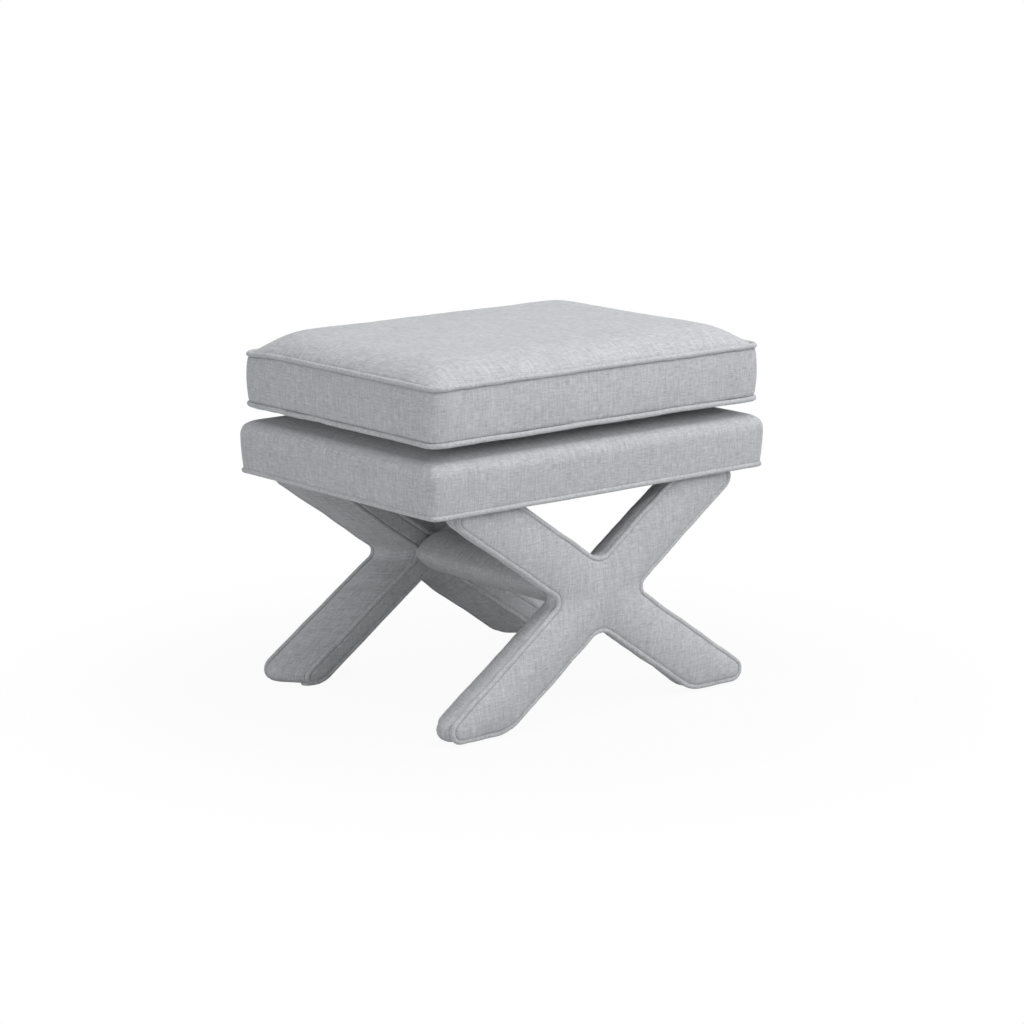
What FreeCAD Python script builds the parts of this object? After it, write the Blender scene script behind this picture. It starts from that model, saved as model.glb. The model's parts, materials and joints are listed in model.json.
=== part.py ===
# Fully upholstered x frame stool: a loose box cushion on a padded deck, carried by two padded X frames
# that a padded stretcher ties together. Millimetres, +Z up, +X along the long side, -Y is the front.
# The origin is the middle of the footprint, on the floor.
import FreeCAD
import Part
import math
import os
import Sketcher
from FreeCAD import Rotation, Vector

doc = FreeCAD.newDocument("x_frame_stool")
sheet = doc.addObject("Spreadsheet::Sheet", "sizes")

SIZES = [
    # whole stool, measured between the centre lines of the deck's welt
    ("deck_length", 559),
    ("deck_depth", 409),
    ("glide_height", 6.5),
    ("frame_height", 295.5),
    # cloth, piping and the small gap that keeps neighbouring layers apart
    ("cloth", 1.2),
    ("welt_diameter", 6.4),
    ("layer_gap", 0.2),
    # X frames
    ("frame_inset", 9.3),
    ("frame_thickness", 53),
    ("hub_height", 153.9),
    ("arm_end_inset", 68.5),
    ("outer_half_width", 34.4),
    ("inner_half_width", 13),
    ("boxing_bulge", 4),
    ("side_notch_radius", 14),
    ("end_notch_radius", 28),
    ("outer_toe_radius", 8),
    ("inner_toe_radius", 5),
    ("outer_heel_radius", 41),
    ("inner_heel_radius", 30),
    ("face_padding", 5.6),
    ("ply_thickness", 15),
    ("ply_half_width", 24),
    ("ply_toe_chamfer", 12),
    ("leg_thickness", 22),
    ("leg_width", 18),
    ("timber_end_inset", 6),
    ("screw_radius", 2),
    ("screw_head_radius", 4),
    ("screw_head_height", 2.2),
    ("screw_length", 32),
    ("screw_distance", 110),
    # glides
    ("glide_radius", 10),
    ("glide_foot_radius", 8.5),
    ("glide_nail_radius", 1.2),
    ("glide_nail_length", 14),
    # bolts from the deck's rails into the X frames
    ("bolt_radius", 3),
    ("bolt_inset", 12.2),
    ("bolt_grip", 28),
    ("bolt_head_radius", 5.6),
    ("bolt_head_height", 4),
    ("bolt_recess_depth", 8),
    ("washer_radius", 6),
    ("washer_thickness", 1.2),
    ("barrel_nut_radius", 5),
    ("barrel_nut_length", 12),
    # stretcher
    ("stretcher_rise", 2.5),
    ("stretcher_half_width", 46),
    ("stretcher_half_height", 29),
    ("stretcher_nose_radius", 13),
    ("stretcher_end_shrink", 6),
    ("stretcher_end_taper", 24),
    ("stretcher_rail_width", 60),
    ("stretcher_rail_height", 22),
    ("stretcher_bolt_spacing", 14),
    ("stretcher_bolt_bite", 45),
    # deck
    ("end_rail_inset", 15),
    ("rail_thickness", 19),
    ("rail_height", 38),
    ("corner_block_leg", 46),
    ("corner_block_height", 32),
    ("board_thickness", 12),
    ("dust_cover_thickness", 0.8),
    ("dust_cover_margin", 5),
    ("staple_wire", 1),
    ("staple_crown", 11),
    ("staple_leg", 7),
    ("staple_pitch", 50),
    ("deck_tuck", 30),
    ("deck_side_rise", 65),
    ("deck_side_foot", 1.2),
    ("deck_side_bulge", 4.6),
    ("deck_shoulder", 20),
    ("deck_crown", 16),
    ("deck_crown_reach", 150),
    ("deck_corner_radius", 11),
    # cushion
    ("cushion_rest_gap", 0.3),
    ("cushion_inset", 2.7),
    ("cushion_corner_radius", 20),
    ("boxing_height", 71.2),
    ("cushion_side_bulge", 3),
    ("cushion_side_draw", 2),
    ("cushion_crown", 35),
    ("cushion_crown_reach", 160),
    ("cushion_belly", 6),
    ("cushion_belly_reach", 60),
    ("core_margin", 14),
    ("core_height", 72),
    ("zip_length", 400),
    ("zip_end_margin", 12),
    ("zip_tape_width", 26),
    ("zip_tape", 0.6),
    ("zip_chain_width", 4.4),
    ("zip_chain_thickness", 1.6),
    ("slider_length", 14),
    ("slider_wall", 1.2),
    ("slider_play", 0.4),
    ("slider_pull_length", 9),
]

for row, (alias, value) in enumerate(SIZES, start=1):
    sheet.set(f"A{row}", alias)
    sheet.set(f"B{row}", str(value))
    sheet.setAlias(f"B{row}", alias)
doc.recompute()


def value(expression):
    """The number that an expression on the sheet comes to."""
    return float(sheet.evalExpression(expression))


# Levels and depths that several pieces share; a frame's depths are counted inwards from its outer face

HUB = "(sizes.glide_height + sizes.hub_height)"
FRAME_TOP = "(sizes.glide_height + sizes.frame_height)"
FRAME_FACE = "(sizes.deck_depth / 2 - sizes.frame_inset)"
ARM_SLOPE = "(sizes.frame_height / (sizes.deck_length - 2 * sizes.arm_end_inset))"
ARM_ANGLE = f"atan({ARM_SLOPE})"
PLY_START = "(sizes.cloth + sizes.layer_gap + sizes.face_padding)"
LEG_START = f"({PLY_START} + sizes.ply_thickness)"
LEG_END = f"({LEG_START} + sizes.leg_thickness)"
LAP_DEPTH = f"({LEG_START} + sizes.leg_thickness / 2)"
BOLT_DEPTH = f"({PLY_START} + sizes.ply_thickness / 2)"
BOLT_Y = f"({FRAME_FACE} - {BOLT_DEPTH})"
BOLT_X = f"((sizes.frame_height - sizes.hub_height) / {ARM_SLOPE} - sizes.bolt_inset)"
BOLT_LOW = f"({FRAME_TOP} - sizes.timber_end_inset - sizes.bolt_grip)"
CLEAR_BOLT = "(sizes.bolt_radius + sizes.layer_gap)"
SEAT_DEPTH = f"({PLY_START} + sizes.washer_thickness + sizes.bolt_head_height + 2 * sizes.layer_gap)"
STRETCHER_END = f"({FRAME_FACE} - sizes.frame_thickness - sizes.layer_gap)"
STRETCHER_SOFT_END = f"({FRAME_FACE} - sizes.frame_thickness - sizes.cloth - sizes.layer_gap)"
STRETCHER_Z = f"({HUB} + sizes.stretcher_rise)"
DUST_BOTTOM = f"({FRAME_TOP} + sizes.layer_gap)"
TUCK_BOTTOM = f"({DUST_BOTTOM} + sizes.dust_cover_thickness + sizes.layer_gap)"
RAIL_BOTTOM = f"({TUCK_BOTTOM} + sizes.cloth + sizes.layer_gap)"
RAIL_TOP = f"({RAIL_BOTTOM} + sizes.rail_height)"
BOLT_SEAT = f"({RAIL_TOP} - sizes.bolt_recess_depth)"
BOARD_TOP = f"({RAIL_TOP} + sizes.board_thickness)"
RAIL_LENGTH = "(sizes.deck_length - 2 * sizes.end_rail_inset)"
RAIL_FACE = f"({BOLT_Y} + sizes.rail_thickness / 2)"

GAP = value("sizes.layer_gap")
CLOTH = value("sizes.cloth")
WELT_R = value("sizes.welt_diameter / 2")
PIPING_EDGE = -WELT_R - GAP

pieces = []


# Document objects and their expressions

def keep(feature, label):
    """Name a finished piece and list it for export."""
    feature.Label = label
    pieces.append(feature)
    return feature


def bind(feature, **expressions):
    for name, expression in expressions.items():
        feature.setExpression(name, expression)
    return feature


def place(feature, x="0", y="0", z="0"):
    for axis, expression in zip("xyz", (x, y, z)):
        feature.setExpression(f"Placement.Base.{axis}", expression)
    return feature


def box(name, length, width, height, x="0", y="0", z="0"):
    """A block centred on x and y that stands on z."""
    block = doc.addObject("Part::Box", name)
    bind(block, Length=length, Width=width, Height=height)
    return place(block, f"{x} - ({length}) / 2", f"{y} - ({width}) / 2", z)


ROUND_SIDES = 12
DISC_SIDES = 24
HEXAGON = 6
DIRECTIONS = {
    "up": Rotation(),
    "down": Rotation(Vector(1, 0, 0), 180),
    "back": Rotation(Vector(1, 0, 0), -90),
    "front": Rotation(Vector(1, 0, 0), 90),
}


def rod(name, radius, length, x, y, z, direction="up", sides=ROUND_SIDES):
    """A rod or a drilled hole that starts at x, y, z, drawn with a few flats in place of its round."""
    prism = doc.addObject("Part::Prism", name)
    prism.Polygon = sides
    bind(prism, Circumradius=radius, Height=length)
    prism.Placement.Rotation = DIRECTIONS[direction]
    return place(prism, x, y, z)


def fuse(name, parts):
    joined = doc.addObject("Part::MultiFuse", name)
    joined.Shapes = parts
    return joined


def group(name, parts):
    compound = doc.addObject("Part::Compound", name)
    compound.Links = parts
    return compound


def cut(name, base, tools):
    result = doc.addObject("Part::Cut", name)
    result.Base = base
    result.Tool = tools[0] if len(tools) == 1 else fuse(f"{name}_tools", tools)
    return result


def form(name, shape):
    """A soft form whose faces are worked out here."""
    feature = doc.addObject("Part::Feature", name)
    feature.Shape = shape
    return feature


def body(label):
    return doc.addObject("PartDesign::Body", label)


def sketch_on(owner, role, name):
    """A sketch flat on one of the body's own origin planes."""
    sketch = owner.newObject("Sketcher::SketchObject", name)
    plane = next(item for item in owner.Origin.OriginFeatures if item.Role == role)
    sketch.AttachmentSupport = [(plane, "")]
    sketch.MapMode = "FlatFace"
    return sketch


def outline(sketch, points):
    """A closed outline of straight lines through points that are pairs of expressions."""
    corners = [Vector(value(x), value(y), 0) for x, y in points]
    for index, corner in enumerate(corners):
        sketch.addGeometry(Part.LineSegment(corner, corners[(index + 1) % len(corners)]))
    for index in range(len(corners)):
        sketch.addConstraint(Sketcher.Constraint("Coincident", index, 2, (index + 1) % len(corners), 1))
    for index, (x, y) in enumerate(points):
        for kind, axis, expression, number in (("DistanceX", -2, x, corners[index].x),
                                               ("DistanceY", -1, y, corners[index].y)):
            if expression == "0":
                sketch.addConstraint(Sketcher.Constraint("PointOnObject", index, 1, axis))
            else:
                held = sketch.addConstraint(Sketcher.Constraint(kind, -1, 1, index, 1, number))
                sketch.setExpression(f"Constraints[{held}]", expression)
    return sketch


def padded_outline(name, plane, points, thickness):
    """A flat board: an outline drawn on one of the body's own planes and padded."""
    owner = body(name)
    pad = owner.newObject("PartDesign::Pad", f"{name}_pad")
    pad.Profile = outline(sketch_on(owner, plane, f"{name}_outline"), points)
    pad.setExpression("Length", thickness)
    return owner, pad


# Rings of points, and the soft forms that flat faces make between them

CORNER_STEP = 30


def rounded_ring(points, radii):
    """Points round a closed outline whose corners are arcs, walked in steps of about CORNER_STEP degrees."""
    ring = []
    for index, (point, radius) in enumerate(zip(points, radii)):
        back = (points[index - 1] - point).normalize()
        ahead = (points[(index + 1) % len(points)] - point).normalize()
        opening = back.getAngle(ahead)
        bisector = (back + ahead).normalize()
        centre = point + bisector * (radius / math.sin(opening / 2))
        turn = math.pi - opening
        across = (ahead - back).normalize()
        steps = math.ceil(math.degrees(turn) / CORNER_STEP - 0.01)
        for step in range(steps + 1):
            angle = turn * (step / steps - 0.5)
            ring.append(centre + (across * math.sin(angle) - bisector * math.cos(angle)) * radius)
    return ring


def flat_face(points):
    return Part.Face(Part.makePolygon(points + points[:1]))


def skin(rings, closed=False):
    """A solid with flat faces between one ring and the next. A closed one returns to its first ring,
    like a hoop, and any other is capped by its first and last rings."""
    pairs = list(zip(rings, rings[1:]))
    faces = []
    if closed:
        pairs.append((rings[-1], rings[0]))
    else:
        faces = [flat_face(rings[0]), flat_face(rings[-1])]
    for low, high in pairs:
        for index in range(len(low)):
            following = (index + 1) % len(low)
            a, b, c, d = low[index], low[following], high[following], high[index]
            twist = abs((b - a).cross(d - a).normalize().dot(c - a))
            if twist < 1e-5:
                faces.append(flat_face([a, b, c, d]))
            else:
                faces.append(flat_face([a, b, c]))
                faces.append(flat_face([a, c, d]))
    solid = Part.makeSolid(Part.makeShell(faces))
    return solid if solid.Volume > 0 else solid.reversed()


def piping(ring, normal):
    """A six-sided cord that follows a closed flat ring and is mitred at its corners."""
    count = len(ring)
    strands = [[] for flat in range(HEXAGON)]
    for index, point in enumerate(ring):
        arriving = (point - ring[index - 1]).normalize()
        leaving = (ring[(index + 1) % count] - point).normalize()
        side = (arriving + leaving).normalize().cross(normal)
        stretch = 1 / math.cos(arriving.getAngle(leaving) / 2)
        for flat, strand in enumerate(strands):
            angle = math.tau * (flat + 0.5) / HEXAGON
            strand.append(point + side * (WELT_R * stretch * math.cos(angle))
                          + normal * (WELT_R * math.sin(angle)))
    return skin(strands, closed=True)


# X frames, drawn with the outer face at y = 0 and the inner face at y = frame_thickness; the back one is
# the same, turned round

def seat_frame(feature, end, depth="0", z="0"):
    """Put a piece in the front frame (end -1) or, turned round, in the back frame (end 1)."""
    feature.Placement.Rotation = Rotation(Vector(0, 0, 1), 0 if end < 0 else 180)
    return place(feature, y=f"{end} * ({FRAME_FACE} - {depth})", z=z)


def x_board(name, end):
    """The plywood X: four straight arms, narrower than the cover, with their long toes clipped."""
    side = f"sizes.ply_half_width / sin({ARM_ANGLE})"
    peak = f"(sizes.ply_half_width / cos({ARM_ANGLE}))"
    low = "(sizes.hub_height - sizes.timber_end_inset)"
    high = "(sizes.frame_height - sizes.hub_height - sizes.timber_end_inset)"

    def toe(drop):
        return f"({side} + {drop} / {ARM_SLOPE})"

    def heel(drop):
        return f"(({drop} - {peak}) / {ARM_SLOPE})"

    points = [
        (side, "0"), (toe(low), f"-{low}"), (heel(low), f"-{low}"),
        ("0", f"-{peak}"), (f"-{heel(low)}", f"-{low}"), (f"-{toe(low)}", f"-{low}"),
        (f"-{side}", "0"), (f"-{toe(high)}", high), (f"-{heel(high)}", high),
        ("0", peak), (heel(high), high), (toe(high), high),
    ]
    owner, pad = padded_outline(name, "XZ_Plane", points, "sizes.ply_thickness")
    doc.recompute()
    beyond_heels = value(f"({heel(low)} + {toe(high)}) / 2")
    toe_edges = [f"Edge{index}" for index, edge in enumerate(pad.Shape.Edges, start=1)
                 if abs(edge.tangentAt(edge.FirstParameter).y) > 0.99
                 and abs(edge.CenterOfMass.x) > beyond_heels]
    chamfer = owner.newObject("PartDesign::Chamfer", f"{name}_toes")
    chamfer.Base = (pad, toe_edges)
    chamfer.setExpression("Size", "sizes.ply_toe_chamfer")
    return seat_frame(owner, end, LEG_START, HUB)


def slanted_bar(name, end, rise, half_width, low, high, thickness, inner_depth):
    """A straight bar through the hub, cut level at both ends. rise is 1 or -1, for the way it climbs."""
    across = f"{half_width} / sin({ARM_ANGLE})"
    points = [(f"{-rise} * {low} / {ARM_SLOPE} - {across}", f"-{low}"),
              (f"{-rise} * {low} / {ARM_SLOPE} + {across}", f"-{low}"),
              (f"{rise} * {high} / {ARM_SLOPE} + {across}", high),
              (f"{rise} * {high} / {ARM_SLOPE} - {across}", high)]
    owner, _ = padded_outline(name, "XZ_Plane", points, thickness)
    return seat_frame(owner, end, inner_depth, HUB)


def leg_blank(name, end, rise):
    return slanted_bar(name, end, rise, "sizes.leg_width / 2",
                       "(sizes.hub_height - sizes.timber_end_inset)",
                       "(sizes.frame_height - sizes.hub_height - sizes.timber_end_inset)",
                       "sizes.leg_thickness", LEG_END)


def lap(name, end, crossing_rise, inner_depth):
    """The half-lap notch where the other leg crosses, with a little clearance all round."""
    return slanted_bar(name, end, crossing_rise, "(sizes.leg_width / 2 + sizes.layer_gap)",
                       "sizes.leg_width", "sizes.leg_width",
                       "sizes.leg_thickness / 2 + 1.5 * sizes.layer_gap", inner_depth)


def x_ring(depth, half_width, grow, toe_radius, heel_radius):
    """The cover's outline at one depth: four straight arms that cross at the hub, cut level at the sole and
    at the top. grow moves every side outwards."""
    slope = value(ARM_SLOPE)
    side = (half_width + grow) / value(f"sin({ARM_ANGLE})")
    peak = (half_width + grow) / value(f"cos({ARM_ANGLE})")
    low = value("sizes.hub_height") + grow
    high = value("sizes.frame_height - sizes.hub_height") + grow
    side_notch = -value("sizes.side_notch_radius")
    end_notch = -value("sizes.end_notch_radius")
    half = []
    for drop, sign in ((low, -1), (high, 1)):
        toe = (side + drop / slope, sign * drop, toe_radius)
        heel = ((drop - peak) / slope, sign * drop, heel_radius)
        half.append((toe, heel))
    (low_toe, low_heel), (high_toe, high_heel) = half
    right = [(side, 0, side_notch), low_toe, low_heel, (0, -peak, end_notch)]
    mirrored = (low_heel, low_toe, (side, 0, side_notch), high_toe, high_heel)
    left = [(-x, z, radius) for x, z, radius in mirrored]
    corners = right + left + [(0, peak, end_notch), high_heel, high_toe]
    points = [Vector(x, depth, value(HUB) + z) for x, z, radius in corners]
    return rounded_ring(points, [abs(radius + grow) for x, z, radius in corners])


def outer_ring(depth, grow):
    return x_ring(depth, value("sizes.outer_half_width"), grow,
                  value("sizes.outer_toe_radius"), value("sizes.outer_heel_radius"))


def inner_ring(depth, grow):
    return x_ring(depth, value("sizes.inner_half_width"), grow,
                  value("sizes.inner_toe_radius"), value("sizes.inner_heel_radius"))


def middle_ring(grow):
    """Half way through the frame, where the padding swells a little past the straight taper."""
    half_width = value("(sizes.outer_half_width + sizes.inner_half_width) / 2 + sizes.boxing_bulge")
    toe = value("(sizes.outer_toe_radius + sizes.inner_toe_radius) / 2")
    heel = value("(sizes.outer_heel_radius + sizes.inner_heel_radius) / 2")
    return x_ring(value("sizes.frame_thickness / 2"), half_width, grow, toe, heel)


FRAME_DEPTH = value("sizes.frame_thickness")
OUTER_WELT_DEPTH = WELT_R - CLOTH
INNER_WELT_DEPTH = FRAME_DEPTH - OUTER_WELT_DEPTH
BOXING_START = OUTER_WELT_DEPTH + WELT_R + GAP
BOXING_END = FRAME_DEPTH - BOXING_START


def x_padding_form():
    """Wadding from the outer cloth to the inner cloth."""
    edge = PIPING_EDGE - GAP
    return skin([
        outer_ring(CLOTH + GAP, edge),
        outer_ring(BOXING_START, edge),
        middle_ring(-CLOTH - GAP),
        inner_ring(BOXING_END, edge),
        inner_ring(FRAME_DEPTH - CLOTH - GAP, edge),
    ])


def x_boxing_form():
    """The strip of cloth round the frame's edge, slanting in from the wide outer face."""
    return skin([
        outer_ring(BOXING_START, 0), middle_ring(0), inner_ring(BOXING_END, 0),
        inner_ring(BOXING_END, -CLOTH), middle_ring(-CLOTH), outer_ring(BOXING_START, -CLOTH),
    ], closed=True)


def wood_screw(name, x, end, z):
    """A pan-head screw driven from the leg's inner face into the plywood."""
    outwards = "front" if end < 0 else "back"
    y = f"{end} * ({FRAME_FACE} - {LEG_END})"
    shank = rod(f"{name}_shank", "sizes.screw_radius", "sizes.screw_length", x, y, z, outwards, HEXAGON)
    head = rod(f"{name}_head", "sizes.screw_head_radius", "sizes.screw_head_height",
               x, y, z, outwards, HEXAGON)
    return fuse(name, [shank, head])


def glide(name, side, end):
    """A pale nylon disc with a narrower foot, on a nail tapped through the cloth into the leg."""
    x = f"{side} * (sizes.hub_height - sizes.timber_end_inset) / {ARM_SLOPE}"
    y = f"{end} * ({FRAME_FACE} - {LAP_DEPTH})"
    foot = rod(f"{name}_foot", "sizes.glide_foot_radius", "sizes.glide_height - sizes.layer_gap",
               x, y, "0", sides=DISC_SIDES)
    flange = rod(f"{name}_flange", "sizes.glide_radius", "sizes.glide_height / 2",
                 x, y, "sizes.glide_height / 2 - sizes.layer_gap", sides=DISC_SIDES)
    nail = rod(f"{name}_nail", "sizes.glide_nail_radius", "sizes.glide_height + sizes.glide_nail_length",
               x, y, "sizes.glide_height / 2", sides=HEXAGON)
    return fuse(name, [foot, flange, nail])


def hex_bolt(name, length, x, y, z, direction, opposite):
    """A bolt whose head sits on x, y, z and whose shank runs the given way from there."""
    shank = rod(f"{name}_shank", "sizes.bolt_radius", length, x, y, z, direction)
    head = rod(f"{name}_head", "sizes.bolt_head_radius", "sizes.bolt_head_height",
               x, y, z, opposite, HEXAGON)
    return fuse(name, [shank, head])


frame_bolts = []
frame_washers = []
barrel_nuts = []
frame_drills = []
rail_recesses = []
stretcher_bolts = []
stretcher_washers = []
stretcher_drills = []

# The deck bears on the frames' level tops and nips their piping flat
deck_bearing = box("deck_bearing", "sizes.deck_length", "sizes.deck_depth", "sizes.frame_thickness",
                   z=FRAME_TOP)

for end, name in ((-1, "front"), (1, "back")):
    inwards, outwards = ("back", "front") if end < 0 else ("front", "back")
    ply = x_board(f"{name}_ply_blank", end)
    rising = leg_blank(f"{name}_rising_blank", end, 1)
    falling = leg_blank(f"{name}_falling_blank", end, -1)

    drills = []
    nut_holes = []
    for side in (-1, 1):
        tag = f"{name}_{'left' if side < 0 else 'right'}"
        x = f"{side} * {BOLT_X}"
        y = f"{end} * {BOLT_Y}"
        drill = rod(f"{tag}_bolt_hole", CLEAR_BOLT, f"{RAIL_TOP} - {BOLT_LOW} + sizes.layer_gap",
                    x, y, f"{BOLT_LOW} - sizes.layer_gap")
        drills.append(drill)
        frame_bolts.append(hex_bolt(f"{tag}_bolt", f"{BOLT_SEAT} + sizes.washer_thickness - {BOLT_LOW}",
                                    x, y, f"{BOLT_SEAT} + sizes.washer_thickness", "down", "up"))
        washer = rod(f"{tag}_washer_disc", "sizes.washer_radius", "sizes.washer_thickness", x, y, BOLT_SEAT)
        frame_washers.append(cut(f"{tag}_washer", washer, [drill]))
        rail_recesses.append(rod(f"{tag}_recess", "sizes.washer_radius + sizes.layer_gap",
                                 "sizes.bolt_recess_depth", x, y, BOLT_SEAT))
        nut_z = f"{BOLT_LOW} + 2 * sizes.barrel_nut_radius"
        nut = rod(f"{tag}_barrel", "sizes.barrel_nut_radius", "sizes.barrel_nut_length",
                  x, f"{end} * ({BOLT_Y} + sizes.barrel_nut_length / 2)", nut_z, inwards)
        barrel_nuts.append(cut(f"{tag}_barrel_nut", nut, [drill]))
        nut_holes.append(rod(f"{tag}_nut_hole", "sizes.barrel_nut_radius + sizes.layer_gap",
                             "sizes.ply_thickness", x, f"{end} * ({FRAME_FACE} - {PLY_START})",
                             nut_z, inwards))
    frame_drills += drills

    through = []
    counterbores = []
    for side in (-1, 1):
        tag = f"{name}_stretcher_{'left' if side < 0 else 'right'}"
        x = f"{side} * sizes.stretcher_bolt_spacing / 2"
        head_y = f"{end} * ({FRAME_FACE} - {SEAT_DEPTH} + sizes.washer_thickness)"
        drill = rod(f"{tag}_hole", CLEAR_BOLT,
                    f"sizes.frame_thickness - {PLY_START} + sizes.stretcher_bolt_bite + 2 * sizes.layer_gap",
                    x, f"{end} * ({FRAME_FACE} - {PLY_START})", HUB, inwards)
        through.append(drill)
        counterbores.append(rod(f"{tag}_counterbore", "sizes.washer_radius + sizes.layer_gap",
                                f"{SEAT_DEPTH} - {PLY_START}", x, f"{end} * ({FRAME_FACE} - {PLY_START})",
                                HUB, inwards))
        length = (f"sizes.frame_thickness - {SEAT_DEPTH} + sizes.washer_thickness"
                  " + sizes.layer_gap + sizes.stretcher_bolt_bite")
        stretcher_bolts.append(hex_bolt(f"{tag}_bolt", length, x, head_y, HUB, inwards, outwards))
        washer = rod(f"{tag}_washer_disc", "sizes.washer_radius", "sizes.washer_thickness",
                     x, head_y, HUB, inwards)
        stretcher_washers.append(cut(f"{tag}_washer", washer, [drill]))
    stretcher_drills += through

    keep(cut(f"{name}_ply", ply, drills + nut_holes + through + counterbores), f"{name}_x_outer_ply")
    rising_lap = lap(f"{name}_rising_lap", end, -1, f"({LEG_END} + sizes.layer_gap)")
    falling_lap = lap(f"{name}_falling_lap", end, 1, f"({LAP_DEPTH} + sizes.layer_gap / 2)")
    keep(cut(f"{name}_rising", rising, [rising_lap] + through), f"{name}_x_rising_leg")
    keep(cut(f"{name}_falling", falling, [falling_lap] + through), f"{name}_x_falling_leg")

    screws = []
    for side in (-1, 1):
        for climb in (-1, 1):
            screws.append(wood_screw(f"{name}_screw_{side + 1}{climb + 1}",
                                     f"{side} * sizes.screw_distance * cos({ARM_ANGLE})", end,
                                     f"{HUB} + {climb} * sizes.screw_distance * sin({ARM_ANGLE})"))
    keep(group(f"{name}_screws", screws), f"{name}_x_leg_screws")

    padding = seat_frame(form(f"{name}_padding_form", x_padding_form()), end)
    keep(cut(f"{name}_padding", padding, [ply, rising, falling] + drills + nut_holes + through),
         f"{name}_x_padding")
    outer_panel = skin([outer_ring(0, PIPING_EDGE), outer_ring(CLOTH, PIPING_EDGE)])
    keep(seat_frame(form(f"{name}_outer_panel", outer_panel), end), f"{name}_x_outer_panel")
    boxing = seat_frame(form(f"{name}_boxing_form", x_boxing_form()), end)
    keep(cut(f"{name}_boxing", boxing, drills), f"{name}_x_boxing")
    inner_panel = skin([inner_ring(FRAME_DEPTH - CLOTH, PIPING_EDGE), inner_ring(FRAME_DEPTH, PIPING_EDGE)])
    inner_panel = seat_frame(form(f"{name}_inner_panel_form", inner_panel), end)
    keep(cut(f"{name}_inner_panel", inner_panel, through), f"{name}_x_inner_panel")
    for face, ring in (("outer", outer_ring(OUTER_WELT_DEPTH, 0)),
                       ("inner", inner_ring(INNER_WELT_DEPTH, 0))):
        welt = seat_frame(form(f"{name}_{face}_piping", piping(ring, Vector(0, 1, 0))), end)
        keep(cut(f"{name}_{face}_nipped_piping", welt, [deck_bearing]), f"{name}_x_{face}_welt")

    for side, side_name in ((-1, "left"), (1, "right")):
        keep(glide(f"{name}_{side_name}_glide_parts", side, end), f"{name}_{side_name}_glide")

keep(group("bolts_to_frames", frame_bolts), "frame_bolts")
keep(group("washers_on_rails", frame_washers), "frame_bolt_washers")
keep(group("nuts_in_frames", barrel_nuts), "barrel_nuts")
keep(group("bolts_to_stretcher", stretcher_bolts), "stretcher_bolts")
keep(group("washers_in_frames", stretcher_washers), "stretcher_washers")


# Stretcher, along y between the hubs

def lens_ring(y, shrink, grow):
    """A wide lens: shallow arcs above and below that meet in a round nose at each side, in short chords."""
    half_width = value("sizes.stretcher_half_width") - shrink + grow
    half_height = value("sizes.stretcher_half_height") - shrink + grow
    nose = value("sizes.stretcher_nose_radius") - shrink / 2 + grow
    middle = half_width - nose
    radius = (middle ** 2 + half_height ** 2 - nose ** 2) / (2 * (half_height - nose))
    lean = math.asin(middle / (radius - nose))
    stretches = [
        (0, half_height - radius, radius, -lean, lean, 6),
        (middle, 0, nose, lean, math.pi - lean, 4),
        (0, radius - half_height, radius, math.pi - lean, math.pi + lean, 6),
        (-middle, 0, nose, math.pi + lean, math.tau - lean, 4),
    ]
    ring = []
    for x, z, arc_radius, start, stop, chords in stretches:
        for chord in range(chords):
            turn = start + (stop - start) * chord / chords
            ring.append(Vector(x + arc_radius * math.sin(turn), y,
                               value(STRETCHER_Z) + z + arc_radius * math.cos(turn)))
    return ring


def stretcher_rings(grow):
    """The padded bar's sections, pinched by a quarter wave where it meets the frames."""
    stop = value(STRETCHER_SOFT_END)
    taper = value("sizes.stretcher_end_taper")
    shrink = value("sizes.stretcher_end_shrink")
    start = [lens_ring(-stop + taper * part, shrink * (1 - math.sin(math.pi / 2 * part)), grow)
             for part in (0, 0.4, 1)]
    return start + [lens_ring(stop - taper * part, shrink * (1 - math.sin(math.pi / 2 * part)), grow)
                    for part in (1, 0.4, 0)]


core_rail = box("core_rail_blank", "sizes.stretcher_rail_width", f"(2 * {STRETCHER_END})",
                "sizes.stretcher_rail_height", z=f"{STRETCHER_Z} - sizes.stretcher_rail_height / 2")
keep(cut("core_rail", core_rail, stretcher_drills), "stretcher_core_rail")
stretcher_padding = form("stretcher_padding_form", skin(stretcher_rings(-CLOTH - 2 * GAP)))
keep(cut("stretcher_wadding", stretcher_padding, [core_rail]), "stretcher_padding")
keep(form("stretcher_cloth", skin(stretcher_rings(0) + stretcher_rings(-CLOTH)[::-1], closed=True)),
     "stretcher_cover")


# Deck: a timber box, a board on top, padding and cloth

for end, name in ((-1, "front"), (1, "back")):
    rail = box(f"{name}_rail_blank", RAIL_LENGTH, "sizes.rail_thickness", "sizes.rail_height",
               y=f"{end} * {BOLT_Y}", z=RAIL_BOTTOM)
    chosen = slice(0, 2) if end < 0 else slice(2, 4)
    keep(cut(f"{name}_rail", rail, frame_drills[chosen] + rail_recesses[chosen]), f"deck_{name}_rail")
for end, name in ((-1, "left"), (1, "right")):
    keep(box(f"{name}_rail", "sizes.rail_thickness", f"(2 * {RAIL_FACE} - 2 * sizes.rail_thickness)",
             "sizes.rail_height", x=f"{end} * ({RAIL_LENGTH} - sizes.rail_thickness) / 2", z=RAIL_BOTTOM),
         f"deck_{name}_rail")

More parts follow.
